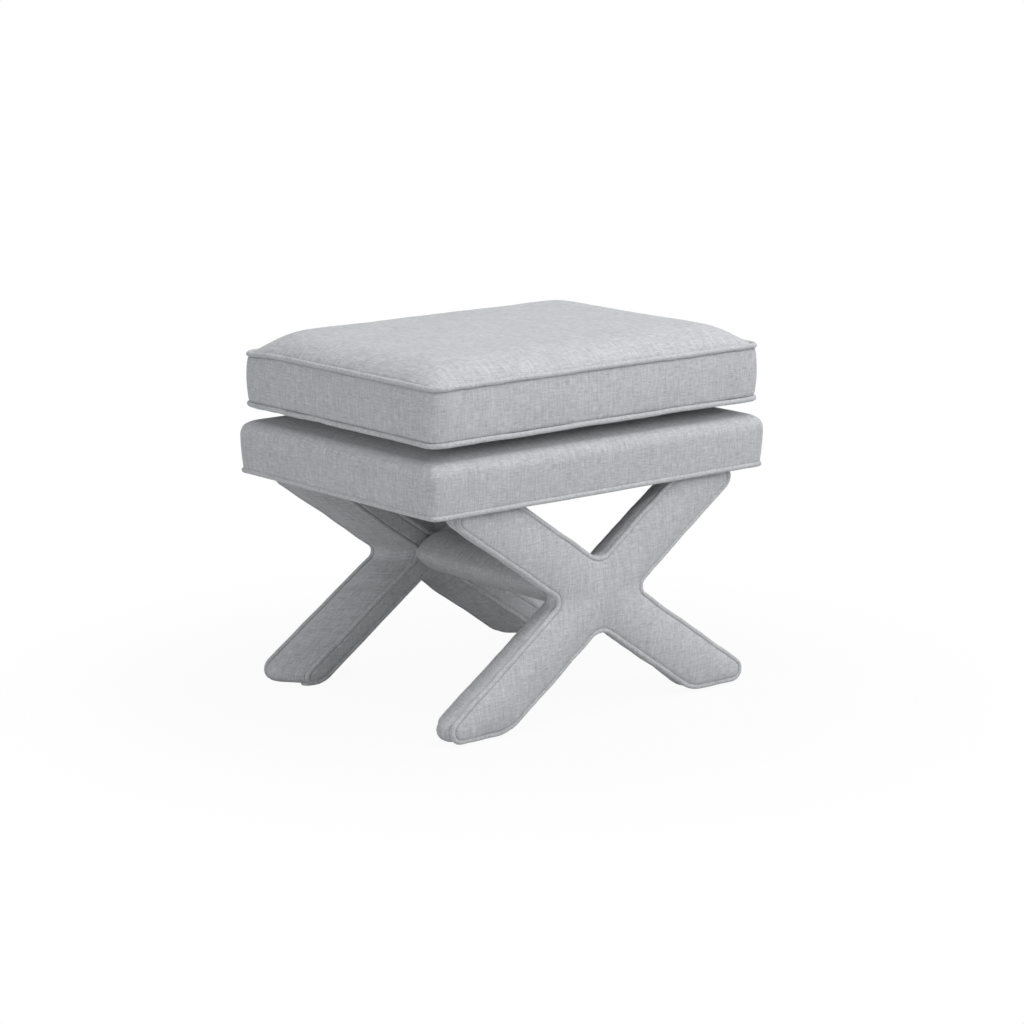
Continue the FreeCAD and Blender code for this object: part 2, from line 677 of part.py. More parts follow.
corner_blocks = []
for index, (x_side, y_side) in enumerate(((1, 1), (-1, 1), (-1, -1), (1, -1))):
    triangle = [("0", "0"), ("-sizes.corner_block_leg", "0"), ("0", "-sizes.corner_block_leg")]
    block, _ = padded_outline(f"corner_block_{index + 1}", "XY_Plane", triangle, "sizes.corner_block_height")
    block.Placement.Rotation = Rotation(Vector(0, 0, 1), 90 * index)
    place(block, f"{x_side} * ({RAIL_LENGTH} / 2 - sizes.rail_thickness)",
          f"{y_side} * ({RAIL_FACE} - sizes.rail_thickness)", f"{RAIL_TOP} - sizes.corner_block_height")
    corner_blocks.append(block)
keep(group("blocks_in_corners", corner_blocks), "deck_corner_blocks")
keep(box("board", RAIL_LENGTH, f"(2 * {RAIL_FACE})", "sizes.board_thickness", z=RAIL_TOP), "deck_board")


SOFTENING = 0.3
ROUNDEST = 0.8


def rectangle_ring(half_x, half_y, radius, z):
    corners = [Vector(half_x, half_y, z), Vector(-half_x, half_y, z),
               Vector(-half_x, -half_y, z), Vector(half_x, -half_y, z)]
    return rounded_ring(corners, [radius] * 4)


def deck_ring(inset, z):
    """The deck's outline: its corners follow the bulge, and soften towards the middle of the top."""
    half_x = value("sizes.deck_length") / 2 - inset
    half_y = value("sizes.deck_depth") / 2 - inset
    radius = value("sizes.deck_corner_radius") + max(-inset, inset * SOFTENING)
    return rectangle_ring(half_x, half_y, min(radius, ROUNDEST * half_y), z)


def deck_profile(bottom):
    """The deck's side and top as (inset, z): a side that swells to its bulge, a quarter-round shoulder, and a
    crown that rises as a parabola to its flat middle."""
    foot = value("sizes.deck_side_foot")
    bulge = value("sizes.deck_side_bulge")
    shoulder = value("sizes.deck_shoulder")
    edge = value(f"{TUCK_BOTTOM} + sizes.deck_side_rise")
    full = edge - shoulder
    profile = []
    for part in (0, 0.4, 0.75):
        profile.append((-foot - (bulge - foot) * math.sin(math.pi / 2 * part),
                        bottom + (full - bottom) * part))
    for degrees in (0, 25, 50, 75):
        turn = math.radians(degrees)
        profile.append((-bulge + shoulder * (1 - math.cos(turn)), full + shoulder * math.sin(turn)))
    reach = value("sizes.deck_crown_reach")
    start = shoulder - bulge
    for part in (0.2, 0.5, 1):
        profile.append((start + (reach - start) * part,
                        edge + value("sizes.deck_crown") * (1 - (1 - part) ** 2)))
    return profile


def moved_in(profile, distance):
    """A profile of (inset, z) moved square to its own run, towards the inside."""
    moved = []
    for index, (inset, z) in enumerate(profile):
        before = profile[max(index - 1, 0)]
        after = profile[min(index + 1, len(profile) - 1)]
        run = math.hypot(after[0] - before[0], after[1] - before[1])
        rise = z if index == 0 else z - distance * (after[0] - before[0]) / run
        moved.append((inset + distance * (after[1] - before[1]) / run, rise))
    return moved


def deck_rings(distance, bottom):
    return [deck_ring(inset, z) for inset, z in moved_in(deck_profile(bottom), distance)]


tuck_bottom = value(TUCK_BOTTOM)
tuck = value("sizes.deck_tuck")
tuck_edges = [deck_ring(tuck, tuck_bottom + CLOTH), deck_ring(tuck, tuck_bottom)]
deck_cover = skin(deck_rings(CLOTH, tuck_bottom + CLOTH)[::-1] + tuck_edges + deck_rings(0, tuck_bottom))
keep(cut("deck_cloth", form("deck_cloth_form", deck_cover), frame_drills), "deck_cover")

wadding = form("deck_wadding", skin(deck_rings(CLOTH + GAP, value(RAIL_BOTTOM))))
below_board = box("below_board", "sizes.deck_length + sizes.deck_depth", "sizes.deck_length",
                  f"({BOARD_TOP} - {RAIL_BOTTOM})", z=RAIL_BOTTOM)
timber_box = box("timber_box", RAIL_LENGTH, f"(2 * {RAIL_FACE})", f"({BOARD_TOP} - {RAIL_BOTTOM})",
                 z=RAIL_BOTTOM)
keep(cut("foam_on_board", wadding, [below_board]), "deck_foam")
side_wadding = doc.addObject("Part::Common", "side_wadding")
side_wadding.Base = wadding
side_wadding.Tool = below_board
keep(cut("wadding_round_rails", side_wadding, [timber_box]), "deck_side_padding")

deck_welt = piping(deck_ring(0, tuck_bottom - GAP - WELT_R), Vector(0, 0, 1))
keep(form("deck_piping", deck_welt), "deck_welt")

DUST_EDGE = "sizes.dust_cover_margin"
dust_sheet = box("dust_sheet", f"({RAIL_LENGTH} - 2 * {DUST_EDGE})", f"(2 * {RAIL_FACE} - 2 * {DUST_EDGE})",
                 "sizes.dust_cover_thickness", z=DUST_BOTTOM)
keep(cut("dust_sheet_with_holes", dust_sheet, frame_drills), "dust_cover")


def staple(x, y, along_x):
    """One wire staple, its crown flat under the dust cover and its legs up in the rail."""
    wire = value("sizes.staple_wire")
    crown = value("sizes.staple_crown")
    leg = value("sizes.staple_leg")
    shape = Part.makeBox(crown, wire, wire, Vector(-crown / 2, -wire / 2, -wire))
    for side in (-1, 1):
        start = side * (crown - wire) / 2 - wire / 2
        shape = shape.fuse(Part.makeBox(wire, wire, leg, Vector(start, -wire / 2, 0)))
    shape = shape.removeSplitter()
    if not along_x:
        shape.rotate(Vector(0, 0, 0), Vector(0, 0, 1), 90)
    shape.translate(Vector(x, y, value(DUST_BOTTOM)))
    return shape


staples = []
for step in range(-2, 3):
    along = step * value("sizes.staple_pitch")
    for side in (-1, 1):
        staples.append(staple(along, side * value(BOLT_Y), True))
        staples.append(staple(side * value(f"({RAIL_LENGTH} - sizes.rail_thickness) / 2"), along, False))
keep(form("dust_cover_staple_row", Part.makeCompound(staples)), "dust_cover_staples")


# Loose cushion

DECK_TOP = value(f"{TUCK_BOTTOM} + sizes.deck_side_rise + sizes.deck_crown")
LOW_WELT_Z = DECK_TOP + value("sizes.cushion_rest_gap + sizes.cushion_belly")
HIGH_WELT_Z = LOW_WELT_Z + value("sizes.boxing_height")
CUSHION_X = value("sizes.deck_length / 2 - sizes.cushion_inset")
CUSHION_Y = value("sizes.deck_depth / 2 - sizes.cushion_inset")
CUSHION_CORNER = value("sizes.cushion_corner_radius")


def cushion_ring(inset, z, radius=None):
    """A rounded rectangle whose front and ends are drawn in towards their middles. The back, which holds the
    zip, is straight."""
    half_x = CUSHION_X - inset
    half_y = CUSHION_Y - inset
    ring = []
    corners = rectangle_ring(half_x, half_y, min(radius or CUSHION_CORNER - inset, ROUNDEST * half_y), z)
    per_corner = len(corners) // 4
    for side in range(4):
        ring += corners[side * per_corner:(side + 1) * per_corner]
        start = ring[-1]
        stop = corners[(side + 1) * per_corner % len(corners)]
        for part in (0.2, 0.5, 0.8):
            point = start + (stop - start) * part
            draw = value("sizes.cushion_side_draw") * (1 - (2 * part - 1) ** 2)
            if side == 1:
                point.x += draw
            elif side == 2:
                point.y += draw
            elif side == 3:
                point.x -= draw
            ring.append(point)
    return ring


def panel_profile(reach, swell, power, parts):
    """The height that a panel gains from its seam inwards, as (inset, height)."""
    seam = WELT_R + GAP
    lip = WELT_R - CLOTH
    return [(seam + (reach - seam) * part, lip + (swell - lip) * (1 - (1 - part) ** power))
            for part in parts]


TOP_PROFILE = panel_profile(value("sizes.cushion_crown_reach"), value("sizes.cushion_crown"), 4,
                            (0, 0.04, 0.12, 0.24, 0.4, 0.65, 1))
BELLY_PROFILE = panel_profile(value("sizes.cushion_belly_reach"), value("sizes.cushion_belly"), 2,
                              (0, 0.3, 1))


def panel_rings(profile, seam_z, way, sink):
    """Rings of a panel from its seam inwards. way is 1 for the top and -1 for the bottom; sink moves the
    panel's surface into the cushion."""
    rings = []
    for inset, height in profile:
        radius = CUSHION_CORNER - inset if inset == profile[0][0] else CUSHION_CORNER + SOFTENING * inset
        rings.append(cushion_ring(inset, seam_z + way * (height - sink), radius))
    return rings


def panel(profile, seam_z, way):
    return skin(panel_rings(profile, seam_z, way, CLOTH)[::-1] + panel_rings(profile, seam_z, way, 0))


BAND_HALF = value("sizes.zip_tape_width / 2") + CLOTH
BAND_MIDDLE = (LOW_WELT_Z + HIGH_WELT_Z) / 2
BULGE = value("sizes.cushion_side_bulge")


def boxing_levels(grow):
    """The boxing's insets and heights: upright across the zip's width and drawn in to both seams."""
    low = LOW_WELT_Z + WELT_R + GAP
    high = HIGH_WELT_Z - WELT_R - GAP
    return [(-grow, low), (-BULGE - grow, BAND_MIDDLE - BAND_HALF),
            (-BULGE - grow, BAND_MIDDLE + BAND_HALF), (-grow, high)]


def boxing_rings(grow):
    return [cushion_ring(inset, z) for inset, z in boxing_levels(grow)]


boxing_band = form("boxing_band", skin(boxing_rings(0) + boxing_rings(-CLOTH)[::-1], closed=True))
ZIP_HALF = "(sizes.zip_length / 2 + sizes.zip_end_margin)"
SLOT = "(sizes.zip_chain_width + 4 * sizes.slider_play + 2 * sizes.slider_wall)"
BAND_BACK = "(sizes.deck_depth / 2 - sizes.cushion_inset + sizes.cushion_side_bulge)"
band_z = f"({LOW_WELT_Z} + sizes.boxing_height / 2)"
zip_window = box("zip_window", f"(2 * {ZIP_HALF})", "sizes.cushion_corner_radius", "sizes.boxing_height",
                 y=BAND_BACK, z=f"{LOW_WELT_Z}")
zip_slot = box("zip_slot", "sizes.zip_length", "sizes.cushion_corner_radius", SLOT,
               y=BAND_BACK, z=f"{band_z} - {SLOT} / 2")
window_cut = box("window_cut", f"(2 * {ZIP_HALF} + 2 * sizes.layer_gap)", "sizes.cushion_corner_radius",
                 "sizes.boxing_height", y=BAND_BACK, z=f"{LOW_WELT_Z}")
keep(cut("boxing_round_zip", boxing_band, [window_cut]), "cushion_boxing")
zip_cloth = doc.addObject("Part::Common", "zip_cloth")
zip_cloth.Base = boxing_band
zip_cloth.Tool = zip_window
keep(cut("zip_cloth_with_slot", zip_cloth, [zip_slot]), "cushion_zip_boxing")

TAPE_FACE = f"({BAND_BACK} - sizes.cloth - sizes.layer_gap)"
tape_height = "(sizes.zip_tape_width / 2 - sizes.layer_gap / 2)"
tapes = [box(f"zip_tape_{side}", "sizes.zip_length + sizes.zip_end_margin", "sizes.zip_tape", tape_height,
             y=f"{TAPE_FACE} - sizes.zip_tape / 2", z=f"{band_z} + {low}")
         for side, low in (("upper", "sizes.layer_gap / 2"),
                           ("lower", f"-{tape_height} - sizes.layer_gap / 2"))]
keep(group("two_zip_tapes", tapes), "zip_tapes")
keep(box("zip_teeth", "sizes.zip_length - 2 * sizes.layer_gap", "sizes.zip_chain_thickness",
         "sizes.zip_chain_width", y=f"{TAPE_FACE} + sizes.zip_chain_thickness / 2",
         z=f"{band_z} - sizes.zip_chain_width / 2"), "zip_chain")

SLIDER_X = "(sizes.zip_length / 2 - sizes.slider_length / 2 - 2 * sizes.slider_play)"
SLIDER_BACK = f"({TAPE_FACE} + sizes.zip_chain_thickness + sizes.slider_play)"
slider_inner = "(sizes.zip_chain_width + 2 * sizes.slider_play)"
slider_outer = f"({slider_inner} + 2 * sizes.slider_wall)"
slider_depth = "(sizes.zip_chain_thickness + sizes.slider_wall)"
slider_block = box("slider_block", "sizes.slider_length", slider_depth, slider_outer, x=SLIDER_X,
                   y=f"{SLIDER_BACK} + sizes.slider_wall - {slider_depth} / 2",
                   z=f"{band_z} - {slider_outer} / 2")
slider_channel = box("slider_channel", "2 * sizes.slider_length", "2 * sizes.zip_chain_thickness",
                     slider_inner, x=SLIDER_X, y=f"{SLIDER_BACK} - sizes.zip_chain_thickness",
                     z=f"{band_z} - {slider_inner} / 2")
slider_pull = box("slider_pull", "sizes.slider_pull_length", "sizes.slider_wall", "sizes.slider_wall",
                  x=SLIDER_X, y=f"{SLIDER_BACK} + 1.5 * sizes.slider_wall",
                  z=f"{band_z} - sizes.slider_wall / 2")
slider_shell = cut("slider_shell", slider_block, [slider_channel])
keep(fuse("slider_with_pull", [slider_shell, slider_pull]), "zip_slider")

top_panel = form("top_panel_cloth", panel(TOP_PROFILE, HIGH_WELT_Z, 1))
keep(top_panel, "cushion_top_panel")
bottom_panel = form("bottom_panel_cloth", panel(BELLY_PROFILE, LOW_WELT_Z, -1))
keep(bottom_panel, "cushion_bottom_panel")
for name, z in (("top", HIGH_WELT_Z), ("bottom", LOW_WELT_Z)):
    keep(form(f"{name}_piping", piping(cushion_ring(0, z), Vector(0, 0, 1))), f"cushion_{name}_welt")


def wrap_rings():
    """The fibre wrap fills the cover, a gap inside its panels, welts and boxing."""
    edge = WELT_R + 2 * GAP
    middle = [cushion_ring(edge, LOW_WELT_Z + WELT_R + GAP)]
    clear_of_zip = CLOTH + 3 * GAP + value("sizes.zip_tape")
    for side in (-1, 1):
        middle.append(cushion_ring(clear_of_zip - BULGE, BAND_MIDDLE + side * BAND_HALF))
    middle.append(cushion_ring(edge, HIGH_WELT_Z - WELT_R - GAP))
    low = panel_rings(BELLY_PROFILE, LOW_WELT_Z, -1, CLOTH + GAP)
    high = panel_rings(TOP_PROFILE, HIGH_WELT_Z, 1, CLOTH + GAP)
    return low[::-1] + middle + high


foam_core = box("foam_block", "(sizes.deck_length - 2 * sizes.cushion_inset - 2 * sizes.core_margin)",
                "(sizes.deck_depth - 2 * sizes.cushion_inset - 2 * sizes.core_margin)", "sizes.core_height",
                z=f"{band_z} - sizes.core_height / 2")
keep(foam_core, "cushion_foam_core")
keep(cut("wrap_round_core", form("wrap_form", skin(wrap_rings())), [foam_core]), "cushion_fibre_wrap")


doc.recompute()
for item in doc.Objects:
    if "Invalid" in item.State or "Error" in item.State:
        raise RuntimeError(f"{item.Label} did not compute")
for piece in pieces:
    if piece.Shape.isNull() or not piece.Shape.isValid():
        raise RuntimeError(f"{piece.Label} has no sound shape")
os.makedirs("parts", exist_ok=True)
for piece in pieces:
    piece.Shape.exportStep(f"parts/{piece.Label}.step")
print(len(pieces), "pieces written")
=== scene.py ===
"""A fully upholstered x frame stool: two padded X frames, a padded stretcher, a padded deck and a loose
box cushion, all in one heathered grey linen with self piping. Metres, +Z up, -Y is the front."""
import bmesh
import bpy
import json
import math
import numpy as np
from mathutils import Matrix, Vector


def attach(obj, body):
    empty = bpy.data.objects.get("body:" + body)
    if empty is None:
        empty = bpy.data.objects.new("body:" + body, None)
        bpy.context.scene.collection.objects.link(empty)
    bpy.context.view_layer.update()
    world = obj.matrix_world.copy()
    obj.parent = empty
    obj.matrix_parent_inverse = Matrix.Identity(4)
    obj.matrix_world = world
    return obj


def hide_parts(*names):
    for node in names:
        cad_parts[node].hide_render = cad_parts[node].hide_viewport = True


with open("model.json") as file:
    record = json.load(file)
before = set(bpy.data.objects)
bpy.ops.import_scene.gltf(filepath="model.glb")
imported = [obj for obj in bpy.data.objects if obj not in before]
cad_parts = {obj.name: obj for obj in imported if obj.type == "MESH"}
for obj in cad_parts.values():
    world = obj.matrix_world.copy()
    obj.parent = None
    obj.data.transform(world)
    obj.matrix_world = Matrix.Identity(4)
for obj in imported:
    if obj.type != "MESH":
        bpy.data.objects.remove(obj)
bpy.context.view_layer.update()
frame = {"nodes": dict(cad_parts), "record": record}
cad = frame["nodes"]


# Linen cloth. One plain-woven, piece-dyed cloth with slubby light and dark yarns covers the whole stool.
# Its pattern is laid out in metres on each cut panel, so threads run straight along the panel.
def add(tree, kind, options=None, **inputs):
    """Add a node; an input is a number, a colour or another node's output, and n0, n1 ... name it by place."""
    made = tree.nodes.new(kind)
    for name, option in (options or {}).items():
        setattr(made, name, option)
    for name, source in inputs.items():
        socket = made.inputs[int(name[1:]) if name[1:].isdigit() else name.replace("_", " ")]
        if isinstance(source, bpy.types.NodeSocket):
            tree.links.new(source, socket)
        else:
            socket.default_value = source
    return made


def maths(tree, operation, *values):
    """One step of arithmetic on numbers or sockets."""
    made = add(tree, "ShaderNodeMath", {"operation": operation},
               **{f"n{place}": number for place, number in enumerate(values)})
    return made.outputs[0]


def blend_colour(tree, factor, dark, light):
    made = add(tree, "ShaderNodeMix", {"data_type": "RGBA"}, n0=factor, n6=dark, n7=light)
    return made.outputs[2]


def new_group(name, inputs, outputs):
    """An empty shader group with its named sockets, and its two end nodes."""
    tree = bpy.data.node_groups.new(name, "ShaderNodeTree")
    for socket, kind in inputs:
        tree.interface.new_socket(socket, in_out="INPUT", socket_type=f"NodeSocket{kind}")
    for socket, kind in outputs:
        tree.interface.new_socket(socket, in_out="OUTPUT", socket_type=f"NodeSocket{kind}")
    return tree, tree.nodes.new("NodeGroupInput"), tree.nodes.new("NodeGroupOutput")


def streaks(tree, place, across, along, detail=2.0):
    """Cloudy streaks that are across metres wide and along metres long."""
    scaled = add(tree, "ShaderNodeMapping", Vector=place, Scale=(1 / across, 1 / along, 1))
    noise = add(tree, "ShaderNodeTexNoise", {"noise_dimensions": "2D"}, Vector=scaled.outputs[0], Scale=1.0,
                Detail=detail, Roughness=0.6)
    return noise.outputs[0]


weave, weave_in, weave_out = new_group(
    "linen weave", [("Cloth", "Vector"), ("Dark", "Color"), ("Light", "Color"), ("Pitch", "Float")],
    [("Color", "Color"), ("Roughness", "Float"), ("Height", "Float")])
cloth = weave_in.outputs["Cloth"]
tone = 0.5
for wide, long, weight in ((0.0010, 0.0130, 0.72), (0.0120, 0.0010, 0.72), (0.0034, 0.055, 0.34),
                           (0.050, 0.0034, 0.26), (0.0012, 0.0012, 0.38), (0.05, 0.09, 0.10)):
    strand = maths(weave, "SUBTRACT", streaks(weave, cloth, wide, long), 0.5)
    tone = maths(weave, "ADD", maths(weave, "MULTIPLY", strand, weight), tone)
tone = add(weave, "ShaderNodeClamp", Value=tone).outputs[0]
across = add(weave, "ShaderNodeSeparateXYZ", Vector=cloth)
crossing = []
for axis in (0, 1):
    turn = maths(weave, "DIVIDE", maths(weave, "MULTIPLY", across.outputs[axis], math.pi),
                 weave_in.outputs["Pitch"])
    crossing.append(maths(weave, "SINE", turn))
raised = maths(weave, "ABSOLUTE", maths(weave, "MULTIPLY", *crossing))
height = maths(weave, "ADD", maths(weave, "MULTIPLY", raised, 0.55), maths(weave, "MULTIPLY", tone, 0.45))
shade = blend_colour(weave, tone, weave_in.outputs["Dark"], weave_in.outputs["Light"])
weave.links.new(shade, weave_out.inputs["Color"])
weave.links.new(maths(weave, "SUBTRACT", 0.97, maths(weave, "MULTIPLY", tone, 0.12)),
                weave_out.inputs["Roughness"])
weave.links.new(height, weave_out.inputs["Height"])


def woven_material(name, dark, light, pitch, relief):
    """A matt woven cloth: the weave's colour and roughness, a bump of relief metres and a faint sheen."""
    material = bpy.data.materials.new(name)
    material.use_nodes = True
    tree = material.node_tree
    tree.nodes.clear()
    chart = add(tree, "ShaderNodeUVMap", {"uv_map": "cloth"})
    pattern = add(tree, "ShaderNodeGroup", {"node_tree": weave}, Cloth=chart.outputs[0], Dark=dark, Light=light,
                  Pitch=pitch)
    bump = add(tree, "ShaderNodeBump", Height=pattern.outputs["Height"], Strength=0.6, Distance=relief)
    shader = add(tree, "ShaderNodeBsdfPrincipled", Base_Color=pattern.outputs["Color"],
                 Roughness=pattern.outputs["Roughness"], Normal=bump.outputs[0], Specular_IOR_Level=0.15,
                 Sheen_Weight=0.12, Sheen_Roughness=0.5)
    add(tree, "ShaderNodeOutputMaterial", Surface=shader.outputs[0])
    return material


CLOTH = 0.0012
linen = woven_material("linen cloth", (0.27, 0.275, 0.29, 1), (0.74, 0.745, 0.765, 1), 0.0009, 0.0005)
piping_linen = woven_material("linen piping", (0.28, 0.285, 0.30, 1), (0.72, 0.725, 0.745, 1), 0.0009, 0.0004)


# X frames. Each is a plywood X with half-lapped legs behind it, wadded all over and covered with a wide
# outer panel, a strip that slants in to a narrow inner panel, and piping in both seams.
HUB = 0.1604
FRAME_TOP = 0.302
SOLE = 0.0065
ARM_SLOPE = math.radians(35)
ARM_COLUMNS = 56
END_COLUMNS = 22
FRAME_DEPTH = 0.053
FRAME_FACE = 0.1952
FACE_LEAN = 0.010
WELT = 0.0035


def waves(*coordinates, scale, seed):
    """Gentle unevenness from -1 to 1: the mean of five sine waves whose lengths are 1, 1/1.7, 1/2.3 ... of
    scale and whose directions and starts come from the seed."""
    rng = np.random.default_rng(seed)
    total = 0
    for octave in (1.0, 1.7, 2.3, 3.1, 4.3):
        phase = rng.uniform(0, math.tau)
        direction = rng.normal(size=len(coordinates))
        direction /= np.linalg.norm(direction)
        travel = sum(part * number for part, number in zip(direction, coordinates))
        total = total + np.sin(travel * math.tau * octave / scale + phase) / octave ** 0.6
    return total / 2.6


def cloth_surface(name, points, chart, closed=True, pole=None, flip=False, weld=False):
    """A mesh of quads on a grid of points (rows, columns, 3). A closed grid joins its last column to its
    first; pole is the point, with its place in the chart, that closes the last row."""
    rows, columns = points.shape[:2]
    last_column = columns if closed else columns - 1
    row, column = np.meshgrid(np.arange(rows - 1), np.arange(last_column), indexing="ij")
    ahead = (column + 1) % columns
    quads = np.stack([row * columns + column, row * columns + ahead, (row + 1) * columns + ahead,
                      (row + 1) * columns + column], axis=-1).reshape(-1, 4)
    corners = np.stack([chart[row, column], chart[row, column + 1], chart[row + 1, column + 1],
                        chart[row + 1, column]], axis=-2).reshape(-1, 4, 2)
    if flip:
        quads, corners = quads[:, ::-1], corners[:, ::-1]
    faces, charted = quads.tolist(), [corners.reshape(-1, 2)]
    verts = points.reshape(-1, 3)
    if pole is not None:
        centre, place = pole
        last = (rows - 1) * columns
        start = np.arange(columns)
        fan = np.stack([last + start, last + (start + 1) % columns, np.full(columns, len(verts))], axis=-1)
        fan_chart = np.stack([chart[-1, start], chart[-1, start + 1], np.tile(place, (columns, 1))], axis=-2)
        if flip:
            fan, fan_chart = fan[:, ::-1], fan_chart[:, ::-1]
        verts = np.vstack([verts, centre])
        faces += fan.tolist()
        charted.append(fan_chart.reshape(-1, 2))
    mesh = bpy.data.meshes.new(name)
    mesh.from_pydata(verts.tolist(), [], faces)
    layer = mesh.uv_layers.new(name="cloth")
    layer.data.foreach_set("uv", np.vstack(charted).astype(np.float32).ravel())
    mesh.polygons.foreach_set("use_smooth", [True] * len(mesh.polygons))
    if weld:
        merged = bmesh.new()
        merged.from_mesh(mesh)
        bmesh.ops.remove_doubles(merged, verts=merged.verts, dist=2e-5)
        merged.to_mesh(mesh)
        merged.free()
    piece = bpy.data.objects.new(name, mesh)
    bpy.context.scene.collection.objects.link(piece)
    return piece


def thicken(piece, thickness=CLOTH):
    """Give a sheet its cloth thickness on the inside."""
    solid = piece.modifiers.new("cloth thickness", "SOLIDIFY")
    solid.thickness = thickness
    solid.offset = -1
    return piece


def dress(piece, material, slot, body, *stands_for):
    """Material, body and the solids that a piece stands for. The slot is not used."""
    piece.data.materials.append(material)
    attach(piece, body)
    if stands_for:
        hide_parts(*stands_for)
    return piece


def spread(count):
    """Shares from 0 to just under 1 that crowd towards both ends as a cosine."""
    return (1 - np.cos(math.pi * np.arange(count) / count)) / 2


def x_outline(half_width, toe, heel, grow):
    """Points (x, z) round the X: straight arms at 35 degrees, level at the sole and the top, with an arc of its
    own radius in every corner. The same column is the same place on every outline."""
    side = (half_width + grow) / math.sin(ARM_SLOPE)
    peak = (half_width + grow) / math.cos(ARM_SLOPE)
    low, high = HUB - SOLE + grow, FRAME_TOP - HUB + grow
    slope = math.tan(ARM_SLOPE)
    low_toe, low_heel = (side + low / slope, -low, toe), ((low - peak) / slope, -low, heel)
    high_toe, high_heel = (side + high / slope, high, toe), ((high - peak) / slope, high, heel)
    turns = [(side, 0, -0.014), low_toe, low_heel, (0, -peak, -0.028)]
    turns += [(-x, z, r) for x, z, r in (low_heel, low_toe, (side, 0, -0.014), high_toe, high_heel)]
    turns += [(0, peak, -0.028), high_heel, high_toe]
    path, marks = [], []
    for index, (x, z, signed) in enumerate(turns):
        radius = abs(signed + grow)
        point = np.array([x, z])
        back = np.array(turns[index - 1][:2]) - point
        ahead = np.array(turns[(index + 1) % len(turns)][:2]) - point
        back, ahead = back / np.linalg.norm(back), ahead / np.linalg.norm(ahead)
        opening = math.acos(float(back @ ahead))
        middle = (back + ahead) / np.linalg.norm(back + ahead)
        along = (ahead - back) / np.linalg.norm(ahead - back)
        angle = (math.pi - opening) * np.linspace(-0.5, 0.5, 31)[:, None]
        path.append(point + middle * (radius / math.sin(opening / 2))
                    + (along * np.sin(angle) - middle * np.cos(angle)) * radius)
        marks.append(31 * index + 15)
    path = np.vstack(path + path[:1])
    run = np.concatenate([[0], np.cumsum(np.linalg.norm(np.diff(path, axis=0), axis=1))])
    whole = run[31 * len(turns)]
    lengths = [run[mark] for mark in marks] + [run[marks[0]] + whole]
    path = np.vstack([path[:31 * len(turns)], path[1:31]])
    run = np.concatenate([run[:31 * len(turns)], run[1:31] + whole])
    counts = [ARM_COLUMNS, END_COLUMNS, ARM_COLUMNS] * 4
    wanted = np.concatenate([start + (stop - start) * spread(count)
                             for start, stop, count in zip(lengths, lengths[1:], counts)])
    return np.stack([np.interp(wanted, run, path[:, 0]), np.interp(wanted, run, path[:, 1]) + HUB], axis=-1)


def x_bones(inset):
    """For each column the point on the arms' middle lines that it runs in to: from the hub at a notch to a
    point short of the arm's end, by the share of the edge that is passed."""
    share = spread(ARM_COLUMNS)
    reach_low = (HUB - SOLE - inset) / math.sin(ARM_SLOPE)
    reach_high = (FRAME_TOP - HUB - inset) / math.sin(ARM_SLOPE)
    bones = []
    for x_sign, z_sign in ((1, -1), (-1, -1), (-1, 1), (1, 1)):
        reach = reach_high if z_sign > 0 else reach_low
        tip = np.array([x_sign * math.cos(ARM_SLOPE), z_sign * math.sin(ARM_SLOPE)]) * reach
        bones += [share[:, None] * tip, np.tile(tip, (END_COLUMNS, 1)), (1 - share)[:, None] * tip]
    return np.vstack(bones) + [0, HUB]


def round_run(ring):
    """The distance round a closed ring from its first point, with the whole way round as the last number."""
    step = np.linalg.norm(np.diff(np.vstack([ring, ring[:1]]), axis=0), axis=1)
    return np.concatenate([[0], np.cumsum(step)])


def closed_chart(chart):
    """Repeat the first column after the last, so that a closed grid's pattern has its end."""
    return np.concatenate([chart, chart[:, :1]], axis=1)


def tube(name, centre, normal, radius, seed, sides=14, rise=0.0):
    """Piping: a round cord of the given radius along a closed flat line. Its section lies between the line's
    own sideways direction and its normal, and it wanders a little as sewn piping does."""
    ahead = np.roll(centre, -1, axis=0) - np.roll(centre, 1, axis=0)
    ahead /= np.linalg.norm(ahead, axis=1)[:, None]
    side = np.cross(ahead, normal)
    run = round_run(centre)
    lively = waves(centre[:, 0], centre[:, 1], centre[:, 2], scale=0.09, seed=seed)
    quick = waves(centre[:, 0], centre[:, 1], centre[:, 2], scale=0.022, seed=seed + 1)
    centre = centre + normal * (rise * lively)[:, None] + side * (0.5 * rise * quick)[:, None]
    girth = radius * (1 + 0.035 * quick)
    angle = math.tau * np.arange(sides + 1) / sides
    section = (side[None] * np.cos(angle)[:, None, None] + normal * np.sin(angle)[:, None, None])
    points = centre[None] + section * girth[None, :, None]
    along, round_it = run[None, :] + 0 * angle[:, None], radius * angle[:, None] + 0 * run[None, :]
    chart = np.stack([along + round_it, along - round_it], axis=-1) / math.sqrt(2)
    return cloth_surface(name, points, chart, flip=True, weld=True)


def frame_piece(points, end):
    """From (x, depth, z) in a frame to the stool: the front frame faces -Y and the back one is turned round.
    Hand-cut padding makes the arms wander sideways by up to a millimetre or so, less at the sole and top,
    and it is fuller low down, so that the outer face leans out by FACE_LEAN at the sole."""
    x, depth, z = points[..., 0], points[..., 1], points[..., 2]
    free = np.clip((z - SOLE) * (FRAME_TOP - z) / 0.148 ** 2, 0, 1) ** 0.5
    drift = 0.0011 * waves(x, z, scale=0.19, seed=11 + end) * (0.4 + 0.6 * free)
    lift = 0.0010 * waves(x, z, scale=0.17, seed=15 + end) * free
    depth = depth - FACE_LEAN * (FRAME_TOP - z) / FRAME_TOP * (1 - depth / FRAME_DEPTH)
    return np.stack([-end * (x + drift), end * (FRAME_FACE - depth), z + lift], axis=-1)


